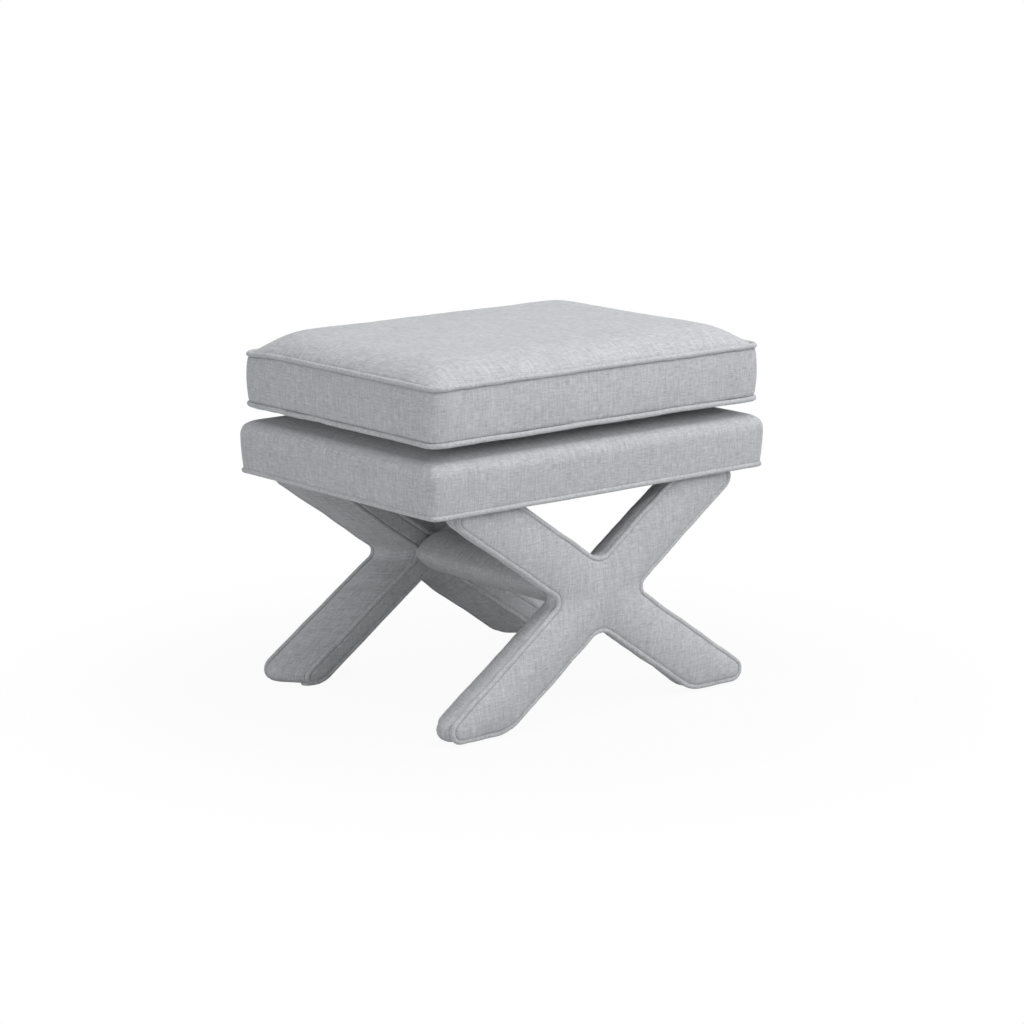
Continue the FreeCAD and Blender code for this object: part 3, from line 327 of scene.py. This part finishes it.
OUTER_HALF, INNER_HALF, BOXING_BULGE = 0.0344, 0.013, 0.0085
OUTER_TOE, INNER_TOE, OUTER_HEEL, INNER_HEEL = 0.0135, 0.0085, 0.062, 0.040
OUTER_WELT_DEPTH, INNER_WELT_DEPTH = 0.0020, 0.0510


def x_panel(name, end, half_width, toe, heel, level, inwards, pillow):
    """A panel: it starts 3 mm under the piping, rolls up over 5 mm and swells by pillow (1 - (1 - s)^2)
    towards the arms' middle lines."""
    edge = x_outline(half_width, toe, heel, -WELT * 0.9)
    bones = x_bones(half_width * 0.9)
    share = np.concatenate([np.linspace(0, 0.2, 8)[:-1], np.linspace(0.2, 1, 12)])[:, None, None]
    flat = edge + (bones - edge) * share
    distance = np.linalg.norm(flat - edge, axis=-1)
    swell = pillow * (1 - (1 - share[..., 0]) ** 2) * np.ones_like(distance)
    swell += 0.0004 * waves(flat[..., 0], flat[..., 1], scale=0.12, seed=len(name)) * share[..., 0]
    dip = 0.0016 * np.exp(-(distance / 0.0022) ** 1.5)
    depth = level + inwards * (swell - dip)
    points = np.stack([flat[..., 0], depth, flat[..., 1]], axis=-1)
    return cloth_surface(name, frame_piece(points, end), closed_chart(flat), flip=inwards > 0, weld=True)


def x_strip(name, end):
    """The strip round the frame's edge: the outline at each depth from the wide outer one to the narrow inner
    one, swelled by bulge (1 - |2 p^0.8 - 1|^2.4) over its share p, with both edges tucked under the piping."""
    share = np.concatenate([[0, 0.02, 0.05, 0.09], np.linspace(0.14, 0.86, 13), [0.91, 0.95, 0.98, 1]])
    start, stop = OUTER_WELT_DEPTH + WELT * 0.6, INNER_WELT_DEPTH - WELT * 0.6
    rows, chart = [], []
    for part in share:
        depth = start + (stop - start) * part
        near = depth / FRAME_DEPTH
        half_width = OUTER_HALF + (INNER_HALF - OUTER_HALF) * near 
        half_width += BOXING_BULGE * (1 - abs(2 * part ** 0.8 - 1) ** 2.4)
        roll = 0.0006 - 0.0008 * (math.exp(-(part / 0.03) ** 1.5) + math.exp(-((1 - part) / 0.03) ** 1.5))
        toe = OUTER_TOE + (INNER_TOE - OUTER_TOE) * near
        heel = OUTER_HEEL + (INNER_HEEL - OUTER_HEEL) * near
        ring = x_outline(half_width, toe, heel, roll)
        outwards = ring - x_outline(half_width, toe, heel, roll - 0.001)
        outwards /= np.linalg.norm(outwards, axis=1)[:, None]
        lumps = waves(ring[:, 0], ring[:, 1], depth * np.ones(len(ring)), scale=0.10, seed=7 + end)
        ring = ring + outwards * (0.0017 * lumps * 4 * part * (1 - part))[:, None]
        rows.append(np.stack([ring[:, 0], np.full(len(ring), depth), ring[:, 1]], axis=-1))
    points = np.stack(rows)
    points[..., 2] = np.clip(points[..., 2], 0.0045, FRAME_TOP - 0.0002)
    middle = points[len(share) // 2]
    run = round_run(middle)
    depths = points[:, 0, 1]
    chart = np.stack(np.broadcast_arrays(run[None, :], depths[:, None]), axis=-1)
    return cloth_surface(name, frame_piece(points, end), chart)


for end, side in ((-1, "front"), (1, "back")):
    outer = x_panel(f"{side}_x_outer_cloth", end, OUTER_HALF, OUTER_TOE, OUTER_HEEL, 0.0, -1, 0.0048)
    dress(thicken(outer), linen, "linen_cloth", "root", f"{side}_x_outer_panel", f"{side}_x_padding")
    inner = x_panel(f"{side}_x_inner_cloth", end, INNER_HALF, INNER_TOE, INNER_HEEL, FRAME_DEPTH, 1, 0.0003)
    dress(thicken(inner), linen, "linen_cloth", "root", f"{side}_x_inner_panel")
    strip = x_strip(f"{side}_x_edge_cloth", end)
    dress(thicken(strip), linen, "linen_cloth", "root", f"{side}_x_boxing")
    for face, half_width, toe, heel, depth in (("outer", OUTER_HALF, OUTER_TOE, OUTER_HEEL, OUTER_WELT_DEPTH),
                                               ("inner", INNER_HALF, INNER_TOE, INNER_HEEL, INNER_WELT_DEPTH)):
        line = x_outline(half_width, toe, heel, 0)
        line = np.stack([line[:, 0], np.full(len(line), depth), line[:, 1]], axis=-1)
        piping = tube(f"{side}_x_{face}_piping", frame_piece(line, end), np.array([0.0, 1.0, 0.0]), WELT,
                      seed=20 + end, rise=0.0003)
        for vertex in piping.data.vertices:
            vertex.co.z = min(vertex.co.z, FRAME_TOP)
        dress(piping, piping_linen, "linen_piping", "root", f"{side}_x_{face}_welt")


# Stretcher. A flat rail between the two hubs, wadded and covered in the round with one piece of cloth that
# is pinched where it meets the frames.
STRETCHER_Z = 0.1629
STRETCHER_END = 0.1406
STRETCHER_HALF_WIDTH, STRETCHER_HALF_HEIGHT, STRETCHER_NOSE = 0.046, 0.029, 0.013
PINCH_LENGTH, PINCH_DEPTH = 0.026, 0.011


def lens(half_width, half_height, nose):
    """A wide lens (x, z): shallow arcs above and below that run into a round nose at each side."""
    middle = half_width - nose
    radius = (middle ** 2 + half_height ** 2 - nose ** 2) / (2 * (half_height - nose))
    lean = math.asin(middle / (radius - nose))
    ring = []
    for x, z, arc, start, stop, count in ((0, half_height - radius, radius, -lean, lean, 40),
                                          (middle, 0, nose, lean, math.pi - lean, 20),
                                          (0, radius - half_height, radius, math.pi - lean, math.pi + lean, 40),
                                          (-middle, 0, nose, math.pi + lean, math.tau - lean, 20)):
        angle = start + (stop - start) * np.arange(count) / count
        ring.append(np.stack([x + arc * np.sin(angle), z + arc * np.cos(angle)], axis=-1))
    return np.vstack(ring)


def stretcher():
    """Lens sections along y, each shrunk by a quarter circle over the pinch at both ends."""
    run_in = PINCH_LENGTH * (1 - np.cos(np.linspace(0, math.pi / 2, 12)))
    middle_part = np.linspace(-0.108, 0.108, 41)
    stations = np.concatenate([-STRETCHER_END + run_in, middle_part, (STRETCHER_END - run_in)[::-1]])
    rows = []
    for y in stations:
        inside = min(1.0, (STRETCHER_END - abs(y)) / PINCH_LENGTH)
        shrink = PINCH_DEPTH * (1 - math.sqrt(max(0.0, 1 - (1 - inside) ** 2)))
        ring = lens(STRETCHER_HALF_WIDTH - shrink, STRETCHER_HALF_HEIGHT - shrink,
                    STRETCHER_NOSE - 0.4 * shrink)
        wave = 1 + 0.012 * waves(ring[:, 0], ring[:, 1] * 1.5, np.full(len(ring), y), scale=0.16, seed=3)
        ring = ring * wave[:, None]
        rows.append(np.stack([ring[:, 0], np.full(len(ring), y), ring[:, 1] + STRETCHER_Z], axis=-1))
    points = np.stack(rows)
    middle = points[len(rows) // 2]
    run = round_run(middle)
    chart = np.stack(np.broadcast_arrays(stations[:, None], run[None, :]), axis=-1)
    return cloth_surface("stretcher_cloth", points, chart)


bar = stretcher()
dress(thicken(bar), linen, "linen_cloth", "root", "stretcher_cover", "stretcher_padding")


# Deck. A timber box with a board on top; foam and wadding under one cloth that is pulled down over the rails,
# turned in and stapled underneath, with piping along its lower edge.
DECK_X, DECK_Y, DECK_CORNER = 0.2816, 0.2066, 0.0078
DECK_PIPING_Z, DECK_WALL_LOW, DECK_WALL_HIGH = 0.3004, 0.3034, 0.3482
DECK_WALL_LIP, DECK_WALL_SWELL = 0.0012, 0.0034
DECK_EDGE, DECK_CROWN, DECK_CROWN_REACH = 0.020, 0.016, 0.1346
SIDE_COLUMNS, CORNER_COLUMNS = 64, 12


def rounded_rectangle(half_x, half_y, radius, draw=(0, 0, 0, 0)):
    """Points (x, y) anticlockwise from the right side's front: straight sides, drawn in at their middles by a
    parabola of each draw (right, back, left, front), and quarter-circle corners. Also each column's thread
    number, which is its distance along its own side."""
    share = (np.arange(SIDE_COLUMNS) + 0.5) / SIDE_COLUMNS
    dent = 1 - (2 * share - 1) ** 2
    turn = math.pi / 2 * (np.arange(CORNER_COLUMNS) + 0.5) / CORNER_COLUMNS
    points, thread = [], []
    base = 0.0
    for quarter in range(4):
        across, half = (half_y, half_x) if quarter % 2 == 0 else (half_x, half_y)
        along = (2 * share - 1) * (across - radius)
        out = half - draw[quarter] * dent
        arc = np.stack([half - radius + radius * np.cos(turn),
                        across - radius + radius * np.sin(turn)], axis=-1)
        local = np.vstack([np.stack([out, along], axis=-1), arc])
        angle = quarter * math.pi / 2
        spin = np.array([[math.cos(angle), math.sin(angle)], [-math.sin(angle), math.cos(angle)]])
        points.append(local @ spin)
        thread.append(np.concatenate([base + along, base + across - radius + turn * radius]))
        base += 1.0
    return np.vstack(points), np.concatenate(thread)


def profile_surface(name, profile, ring_at, pole):
    """Rounded rectangles stacked along a profile of (inset, z). The chart is the thread number by the distance
    along the profile."""
    rows, threads = [], []
    for inset, z in profile:
        ring, thread = ring_at(inset)
        rows.append(np.column_stack([ring, np.full(len(ring), z)]))
        threads.append(thread)
    points, threads = np.stack(rows), np.stack(threads)
    run = np.concatenate([[0], np.cumsum(np.hypot(*np.diff(np.array(profile), axis=0).T))])
    chart = np.stack([threads, np.broadcast_to(run[:, None], threads.shape)], axis=-1)
    return cloth_surface(name, points, closed_chart(chart), pole=pole)


def deck_ring(inset):
    radius = min(DECK_CORNER + max(-inset, 0.3 * inset), 0.8 * (DECK_Y - inset))
    return rounded_rectangle(DECK_X - inset, DECK_Y - inset, radius)


climb = np.linspace(0, 1, 15)
bend = np.radians(np.linspace(0, 90, 15))[1:]
crown = np.linspace(0, 1, 14)[1:]
deck_profile = [(0.030, 0.3033), (0.012, 0.3030), (0.0030, 0.3018), (0.0010, 0.3014), (-0.0004, 0.3022)]
wall_out = -DECK_WALL_LIP - DECK_WALL_SWELL
deck_profile += [(-DECK_WALL_LIP - DECK_WALL_SWELL * math.sin(math.pi / 2 * part),
                  DECK_WALL_LOW + (DECK_WALL_HIGH - DECK_WALL_LOW) * part) for part in climb]
deck_profile += [(wall_out + DECK_EDGE * (1 - math.cos(angle)), DECK_WALL_HIGH + DECK_EDGE * math.sin(angle))
                 for angle in bend]
deck_profile += [(wall_out + DECK_EDGE + DECK_CROWN_REACH * part,
                  DECK_WALL_HIGH + DECK_EDGE + DECK_CROWN * (1 - (1 - part) ** 2)) for part in crown]
deck_middle = (0, 0, DECK_WALL_HIGH + DECK_EDGE + DECK_CROWN)
deck = profile_surface("deck_cloth", deck_profile, deck_ring, pole=(deck_middle, (0, 0.4)))
dress(thicken(deck), linen, "linen_cloth", "root", "deck_cover", "deck_foam", "deck_side_padding")

ring, _ = deck_ring(0)
deck_line = np.column_stack([ring, np.full(len(ring), DECK_PIPING_Z)])
deck_piping = tube("deck_piping", deck_line, np.array([0.0, 0.0, 1.0]), WELT, seed=31, rise=0.0003)
dress(deck_piping, piping_linen, "linen_piping", "root", "deck_welt")


# Cushion. A foam core in a fibre wrap inside a box cover: a crowned top panel, a boxing with a zip at the
# back and a bottom panel that bellies a little, piped round both seams. Its back left corner has settled.
CUSHION_X, CUSHION_Y, CUSHION_CORNER = 0.2788, 0.2038, 0.019
LOW_SEAM, HIGH_SEAM = 0.3905, 0.4617
DRAW = (0.002, 0, 0.002, 0.002)


def cushion_ring(inset):
    return rounded_rectangle(CUSHION_X - inset, CUSHION_Y - inset, max(CUSHION_CORNER - inset, 0.004), DRAW)


def cushion_panel(name, seam_z, way, swell, reach, power, seed):
    """A panel on shrunk copies of the seam's outline. Its height is swell g(x) g(y), where g is
    1 - (1 - d / reach)^power of the distance d to the nearest side, and the edge rolls down to the piping."""
    ring, _ = cushion_ring(WELT * 0.9)
    share = np.concatenate([np.linspace(0, 0.06, 10)[:-1], np.linspace(0.06, 1, 34)[:-1]])
    flat = ring[None] * (1 - share)[:, None, None]
    half_x, half_y = CUSHION_X - WELT, CUSHION_Y - WELT
    to_x = np.clip((half_x - np.abs(flat[..., 0])) / reach, 0, 1)
    to_y = np.clip((half_y - np.abs(flat[..., 1])) / reach, 0, 1)
    rise = (1 - (1 - to_x) ** power) * (1 - (1 - to_y) ** power)
    distance = share[:, None] * np.linalg.norm(ring, axis=1)[None]
    dip = 0.0018 * np.exp(-(distance / 0.0024) ** 1.4)
    puckers = 0.0005 * waves(flat[..., 0], flat[..., 1], scale=0.035, seed=seed) * np.exp(-distance / 0.02)
    rolling = 0.0006 * waves(flat[..., 0], flat[..., 1], scale=0.17, seed=seed + 1)
    lip = 0.002 * (1 - np.exp(-distance / 0.004))
    uneven = (puckers + rolling) * np.clip(distance / 0.02, 0, 1)
    z = seam_z + way * (lip + (swell - 0.002) * rise - dip + uneven)
    points = np.concatenate([flat, z[..., None]], axis=-1)
    middle = (0, 0, seam_z + way * swell)
    return cloth_surface(name, points, closed_chart(flat), pole=(middle, (0, 0)), flip=way < 0)


top = cushion_panel("cushion_top_cloth", HIGH_SEAM, 1, 0.0284, 0.080, 3.2, seed=41)
dress(thicken(top), linen, "linen_cloth", "cushion", "cushion_top_panel", "cushion_fibre_wrap")
bottom = cushion_panel("cushion_bottom_cloth", LOW_SEAM, -1, 0.006, 0.060, 2, seed=43)
dress(thicken(bottom), linen, "linen_cloth", "cushion", "cushion_bottom_panel")

ZIP_Z, ZIP_HALF_LENGTH, ZIP_GAP = 0.4261, 0.212, 0.0044
ZIP_FLOOR_Y, TAPE_FACE_Y = 0.2022, 0.2033
level = np.concatenate([[0, 0.02, 0.045, 0.08], np.linspace(0.13, 0.38, 6), np.linspace(0.41, 0.59, 29),
                        np.linspace(0.62, 0.87, 6), [0.92, 0.955, 0.98, 1]])
rows, threads = [], []
for part in level:
    roll = 0.0020 * (math.exp(-(part / 0.03) ** 1.5) + math.exp(-((1 - part) / 0.03) ** 1.5))
    ring, thread = cushion_ring(roll - 0.003 * math.sin(math.pi * part) ** 0.6)
    z = LOW_SEAM + WELT * 0.7 + (HIGH_SEAM - LOW_SEAM - 1.4 * WELT) * part
    away = ring / np.linalg.norm(ring, axis=1)[:, None]
    ripple = waves(ring[:, 0], ring[:, 1], np.full(len(ring), z * 0.6), scale=0.075, seed=47)
    ring = ring + away * (0.0009 * ripple * math.sin(math.pi * part))[:, None]
    beside = max(0.0, min(1.0, (abs(z - ZIP_Z) - ZIP_GAP) / 0.0008))
    gap = (1 - beside) * np.clip((ZIP_HALF_LENGTH - np.abs(ring[:, 0])) / 0.004, 0, 1) * (ring[:, 1] > 0)
    ring[:, 1] += gap * (ZIP_FLOOR_Y - ring[:, 1])
    rows.append(np.column_stack([ring, np.full(len(ring), z)]))
    threads.append(thread)
boxing_points = np.stack(rows)
heights = np.broadcast_to(boxing_points[:, :1, 2], np.shape(threads))
boxing_chart = np.stack([np.stack(threads), heights], axis=-1)
boxing = cloth_surface("cushion_boxing_cloth", boxing_points, closed_chart(boxing_chart))
dress(thicken(boxing, 0.0008), linen, "linen_cloth", "cushion", "cushion_boxing", "cushion_zip_boxing")

for name, seam_z, seed in (("top", HIGH_SEAM, 51), ("bottom", LOW_SEAM, 53)):
    ring, _ = cushion_ring(0)
    line = np.column_stack([ring, np.full(len(ring), seam_z)])
    piping = tube(f"cushion_{name}_piping", line, np.array([0.0, 0.0, 1.0]), WELT, seed=seed, rise=0.0006)
    dress(piping, piping_linen, "linen_piping", "cushion", f"cushion_{name}_welt")

SETTLE, SETTLE_REACH, SETTLE_FROM_Z, SETTLE_RISE = 0.0045, 0.05, 0.432, 0.03
for name in ("cushion_top_cloth", "cushion_boxing_cloth", "cushion_top_piping"):
    for vertex in bpy.data.objects[name].data.vertices:
        x, y, z = vertex.co
        away = math.hypot(x + CUSHION_X, y - CUSHION_Y) / SETTLE_REACH
        vertex.co.z -= SETTLE * math.exp(-away ** 2) * min(1.0, max(0.0, (z - SETTLE_FROM_Z) / SETTLE_RISE))


# Zip tapes. Two grey woven tapes meet behind the slot in the back boxing; only their inner edges show, either
# side of the coil, which keeps its CAD shape.
tape_x = np.linspace(-ZIP_HALF_LENGTH, ZIP_HALF_LENGTH, 213)
tape_rise = np.linspace(-0.0120, 0.0120, 25)
tape_grid = np.stack(np.meshgrid(tape_x, tape_rise), axis=-1)
stitch_pull = np.abs(np.sin(tape_grid[..., 0] * math.pi / 0.0015)) * (np.abs(tape_grid[..., 1]) < 0.0045)
tape_y = TAPE_FACE_Y - 0.0002 * stitch_pull
tape_points = np.stack([tape_grid[..., 0], tape_y, ZIP_Z + tape_grid[..., 1]], axis=-1)
tapes = cloth_surface("zip_tape_cloth", tape_points, tape_grid, closed=False, flip=True)
tape_cloth = woven_material("zip tape", (0.20, 0.205, 0.215, 1), (0.42, 0.425, 0.44, 1), 0.0005, 0.0002)
dress(thicken(tapes, 0.0005), tape_cloth, "zip_tape", "cushion", "zip_tapes")


# Zip coil and slider. The coil is dyed nylon with fine cross ribs; the slider is die-cast metal, painted grey
# and rubbed brighter on its edges. Both keep their CAD shapes, as all the pieces in the sections below do.
def finish(name, slot, pattern):
    """Give every CAD node of a slot one new material; pattern fills its tree and returns the shader."""
    material = bpy.data.materials.new(name)
    material.use_nodes = True
    tree = material.node_tree
    tree.nodes.clear()
    place = add(tree, "ShaderNodeTexCoord").outputs["Object"]
    shader = pattern(tree, place)
    add(tree, "ShaderNodeOutputMaterial", Surface=shader.outputs[0])
    for row in frame["record"]["subparts"]:
        if row["material_slot"] == slot:
            cad[row["node"]].data.materials.clear()
            cad[row["node"]].data.materials.append(material)


def coil_pattern(tree, place):
    ribs = add(tree, "ShaderNodeTexWave", {"bands_direction": "X"}, Vector=place, Scale=210.0, Distortion=0.2)
    shade = blend_colour(tree, ribs.outputs["Fac"], (0.16, 0.165, 0.175, 1), (0.36, 0.365, 0.38, 1))
    bump = add(tree, "ShaderNodeBump", Height=ribs.outputs["Fac"], Strength=0.8, Distance=0.0003)
    return add(tree, "ShaderNodeBsdfPrincipled", Base_Color=shade, Roughness=0.42, Normal=bump.outputs[0])


def slider_pattern(tree, place):
    wear = add(tree, "ShaderNodeTexNoise", Vector=place, Scale=900.0, Detail=4.0).outputs[0]
    edge = add(tree, "ShaderNodeNewGeometry").outputs["Pointiness"]
    uneven_edge = maths(tree, "ADD", edge, maths(tree, "MULTIPLY", wear, 0.08))
    rubbed = add(tree, "ShaderNodeMapRange", Value=uneven_edge, From_Min=0.55, From_Max=0.62)
    shade = blend_colour(tree, rubbed.outputs[0], (0.24, 0.245, 0.26, 1), (0.52, 0.53, 0.55, 1))
    rough = maths(tree, "ADD", maths(tree, "MULTIPLY", wear, 0.2), 0.3)
    return add(tree, "ShaderNodeBsdfPrincipled", Base_Color=shade, Metallic=0.7, Roughness=rough)


finish("zip coil", "zip_teeth", coil_pattern)
finish("zip slider metal", "zip_metal", slider_pattern)


# Cushion filling. The core is open-cell foam and the wrap is polyester fibre; both stay inside the cover.
def foam_pattern(tree, place):
    cells = add(tree, "ShaderNodeTexVoronoi", Vector=place, Scale=900.0).outputs["Distance"]
    shade = blend_colour(tree, cells, (0.62, 0.57, 0.42, 1), (0.86, 0.82, 0.68, 1))
    bump = add(tree, "ShaderNodeBump", Height=cells, Strength=0.7, Distance=0.0006)
    return add(tree, "ShaderNodeBsdfPrincipled", Base_Color=shade, Roughness=0.93, Normal=bump.outputs[0])


def wadding_pattern(tree, place):
    fibres = add(tree, "ShaderNodeTexNoise", Vector=place, Scale=320.0, Detail=8.0, Distortion=1.5).outputs[0]
    shade = blend_colour(tree, fibres, (0.78, 0.78, 0.76, 1), (0.95, 0.95, 0.94, 1))
    bump = add(tree, "ShaderNodeBump", Height=fibres, Strength=0.6, Distance=0.0008)
    return add(tree, "ShaderNodeBsdfPrincipled", Base_Color=shade, Roughness=0.96, Normal=bump.outputs[0])


finish("open cell foam", "foam", foam_pattern)
finish("fibre wadding", "wadding", wadding_pattern)


# Dust cover. One piece of black non-woven cloth, stapled flat to the undersides of the deck rails, with a
# little slack between the staples.
DUST_X, DUST_Y, DUST_Z, DUST_SLACK = 0.2595, 0.1852, 0.3029, 0.00025
dust_x, dust_y = np.linspace(-DUST_X, DUST_X, 105), np.linspace(-DUST_Y, DUST_Y, 75)
dust_grid = np.stack(np.meshgrid(dust_x, dust_y), axis=-1)
slack = DUST_SLACK * (1 + waves(dust_grid[..., 0], dust_grid[..., 1], scale=0.11, seed=61))
dust_points = np.concatenate([dust_grid, (DUST_Z - slack)[..., None]], axis=-1)
dust_cover = cloth_surface("dust_cover_cloth", dust_points, dust_grid, closed=False)
felt = bpy.data.materials.new("dust cover felt")
felt.use_nodes = True
tree = felt.node_tree
tree.nodes.clear()
chart = add(tree, "ShaderNodeUVMap", {"uv_map": "cloth"}).outputs[0]
fibres = maths(tree, "MAXIMUM", streaks(tree, chart, 0.0004, 0.006), streaks(tree, chart, 0.006, 0.0005))
shade = blend_colour(tree, fibres, (0.010, 0.010, 0.011, 1), (0.075, 0.075, 0.08, 1))
bump = add(tree, "ShaderNodeBump", Height=fibres, Strength=0.6, Distance=0.0003)
shader = add(tree, "ShaderNodeBsdfPrincipled", Base_Color=shade, Roughness=0.92, Normal=bump.outputs[0])
add(tree, "ShaderNodeOutputMaterial", Surface=shader.outputs[0])
dress(thicken(dust_cover, 0.0005), felt, "dust_cover_felt", "root", "dust_cover")


# Timber and plywood. Planed hardwood rails and legs with long grain, and birch ply cut to the X and the deck
# board with its plies showing at the edges.
def grain(tree, place, along):
    """Long streaks down one axis, warped by slow noise, from 0 to 1."""
    stretched = add(tree, "ShaderNodeMapping", Vector=place, Scale=along)
    return add(tree, "ShaderNodeTexNoise", Vector=stretched.outputs[0], Scale=1.0, Detail=6.0, Roughness=0.62,
               Distortion=0.6).outputs[0]


def timber_pattern(tree, place):
    lines = grain(tree, place, (22, 260, 260))
    shade = blend_colour(tree, lines, (0.30, 0.19, 0.10, 1), (0.66, 0.48, 0.29, 1))
    bump = add(tree, "ShaderNodeBump", Height=lines, Strength=0.4, Distance=0.0003)
    return add(tree, "ShaderNodeBsdfPrincipled", Base_Color=shade, Roughness=0.62, Normal=bump.outputs[0])


def plywood_pattern(tree, place):
    lines = grain(tree, place, (18, 150, 150))
    plies = add(tree, "ShaderNodeTexWave", {"bands_direction": "Y"}, Vector=place, Scale=105.0, Distortion=0.4)
    layers = maths(tree, "MULTIPLY", plies.outputs["Fac"], 0.25)
    tone = maths(tree, "ADD", maths(tree, "MULTIPLY", lines, 0.75), layers)
    shade = blend_colour(tree, tone, (0.40, 0.27, 0.15, 1), (0.78, 0.61, 0.41, 1))
    return add(tree, "ShaderNodeBsdfPrincipled", Base_Color=shade, Roughness=0.7)


finish("planed hardwood", "timber", timber_pattern)
finish("birch plywood", "plywood", plywood_pattern)


# Fixings and glides. Bolts, screws, washers, barrel nuts and staples are zinc plated; each foot stands on a
# pale nylon glide that is scuffed where it meets the floor.
def zinc_pattern(tree, place):
    spangle = add(tree, "ShaderNodeTexVoronoi", Vector=place, Scale=700.0).outputs["Distance"]
    shade = blend_colour(tree, spangle, (0.46, 0.47, 0.49, 1), (0.74, 0.75, 0.76, 1))
    rough = maths(tree, "ADD", maths(tree, "MULTIPLY", spangle, 0.18), 0.28)
    return add(tree, "ShaderNodeBsdfPrincipled", Base_Color=shade, Metallic=1.0, Roughness=rough)


def nylon_pattern(tree, place):
    scuffs = grain(tree, place, (90, 700, 700))
    low = add(tree, "ShaderNodeSeparateXYZ", Vector=place).outputs[2]
    worn = add(tree, "ShaderNodeMapRange", Value=low, From_Min=0.0015, From_Max=0.0, To_Min=0.15, To_Max=0.8)
    factor = maths(tree, "MULTIPLY", scuffs, worn.outputs[0])
    shade = blend_colour(tree, factor, (0.86, 0.855, 0.83, 1), (0.58, 0.57, 0.53, 1))
    return add(tree, "ShaderNodeBsdfPrincipled", Base_Color=shade, Roughness=0.45)


finish("zinc plate", "zinc_steel", zinc_pattern)
finish("natural nylon", "nylon", nylon_pattern)


# Studio. A white floor that keeps a faint shadow, soft overhead, front and left lights, and a camera at the
# photograph's angle.
floor_mesh = bpy.data.meshes.new("studio_floor")
floor_mesh.from_pydata([(-40, -40, 0), (40, -40, 0), (40, 40, 0), (-40, 40, 0)], [], [(0, 1, 2, 3)])
floor = bpy.data.objects.new("studio_floor", floor_mesh)
bpy.context.scene.collection.objects.link(floor)
floor_material = bpy.data.materials.new("studio floor")
floor_material.use_nodes = True
tree = floor_material.node_tree
tree.nodes.clear()
matt = add(tree, "ShaderNodeBsdfDiffuse", Color=(0.58, 0.58, 0.58, 1))
glow = add(tree, "ShaderNodeEmission", Color=(1, 1, 1, 1), Strength=1.0)
path = add(tree, "ShaderNodeLightPath")
place = add(tree, "ShaderNodeTexCoord")
length = add(tree, "ShaderNodeVectorMath", {"operation": "LENGTH"}, n0=place.outputs["Object"])
fade = add(tree, "ShaderNodeMapRange", {"interpolation_type": "SMOOTHSTEP"}, Value=length.outputs["Value"],
           From_Min=0.35, From_Max=0.8, To_Min=0.945, To_Max=1.0)
seen = maths(tree, "MULTIPLY", path.outputs["Is Camera Ray"], fade.outputs[0])
mixed = add(tree, "ShaderNodeMixShader", n0=seen, n1=matt.outputs[0], n2=glow.outputs[0])
add(tree, "ShaderNodeOutputMaterial", Surface=mixed.outputs[0])
floor_mesh.materials.append(floor_material)

world = bpy.data.worlds.new("studio")
bpy.context.scene.world = world
world.use_nodes = True
tree = world.node_tree
tree.nodes.clear()
path = add(tree, "ShaderNodeLightPath")
seen = maths(tree, "MAXIMUM", path.outputs["Is Camera Ray"],
             maths(tree, "MAXIMUM", path.outputs["Is Glossy Ray"], path.outputs["Is Transmission Ray"]))
ambient = add(tree, "ShaderNodeBackground", Color=(0.97, 0.985, 1, 1), Strength=0.54)
backdrop = add(tree, "ShaderNodeBackground", Color=(1, 1, 1, 1), Strength=1.0)
mixed = add(tree, "ShaderNodeMixShader", n0=seen, n1=ambient.outputs[0], n2=backdrop.outputs[0])
add(tree, "ShaderNodeOutputWorld", Surface=mixed.outputs[0])


def soft_light(name, place, aim, size, power):
    """A square lamp that faces aim."""
    lamp = bpy.data.lights.new(name, "AREA")
    lamp.size = size
    lamp.energy = power
    lamp_object = bpy.data.objects.new(name, lamp)
    lamp_object.location = place
    lamp_object.rotation_euler = (Vector(aim) - Vector(place)).to_track_quat("-Z", "Y").to_euler()
    bpy.context.scene.collection.objects.link(lamp_object)


soft_light("overhead", (0.7, -0.9, 3.2), (0, 0, 0.3), 2.4, 52)
soft_light("front_fill", (1.5, -3.2, 2.5), (0, 0, 0.4), 1.9, 52)
soft_light("left_fill", (-3.4, -0.5, 0.6), (0, 0, 0.1), 1.8, 21)

AZIMUTH, ELEVATION, DISTANCE = math.radians(-39.68), math.radians(12.24), 4.071
TARGET = Vector((0, 0, 0.2328))
camera = bpy.data.cameras.new("camera")
camera.lens = 106.2
camera.sensor_width = 36
camera.shift_x = 0.0088
camera.shift_y = 0.0034
camera.clip_end = 60
camera_object = bpy.data.objects.new("camera", camera)
away = Vector((math.sin(AZIMUTH) * math.cos(ELEVATION), -math.cos(AZIMUTH) * math.cos(ELEVATION),
               math.sin(ELEVATION)))
camera_object.location = TARGET + away * DISTANCE
camera_object.rotation_euler = (-away).to_track_quat("-Z", "Y").to_euler()
bpy.context.scene.collection.objects.link(camera_object)
bpy.context.scene.camera = camera_object
bpy.context.scene.view_settings.view_transform = "Standard"
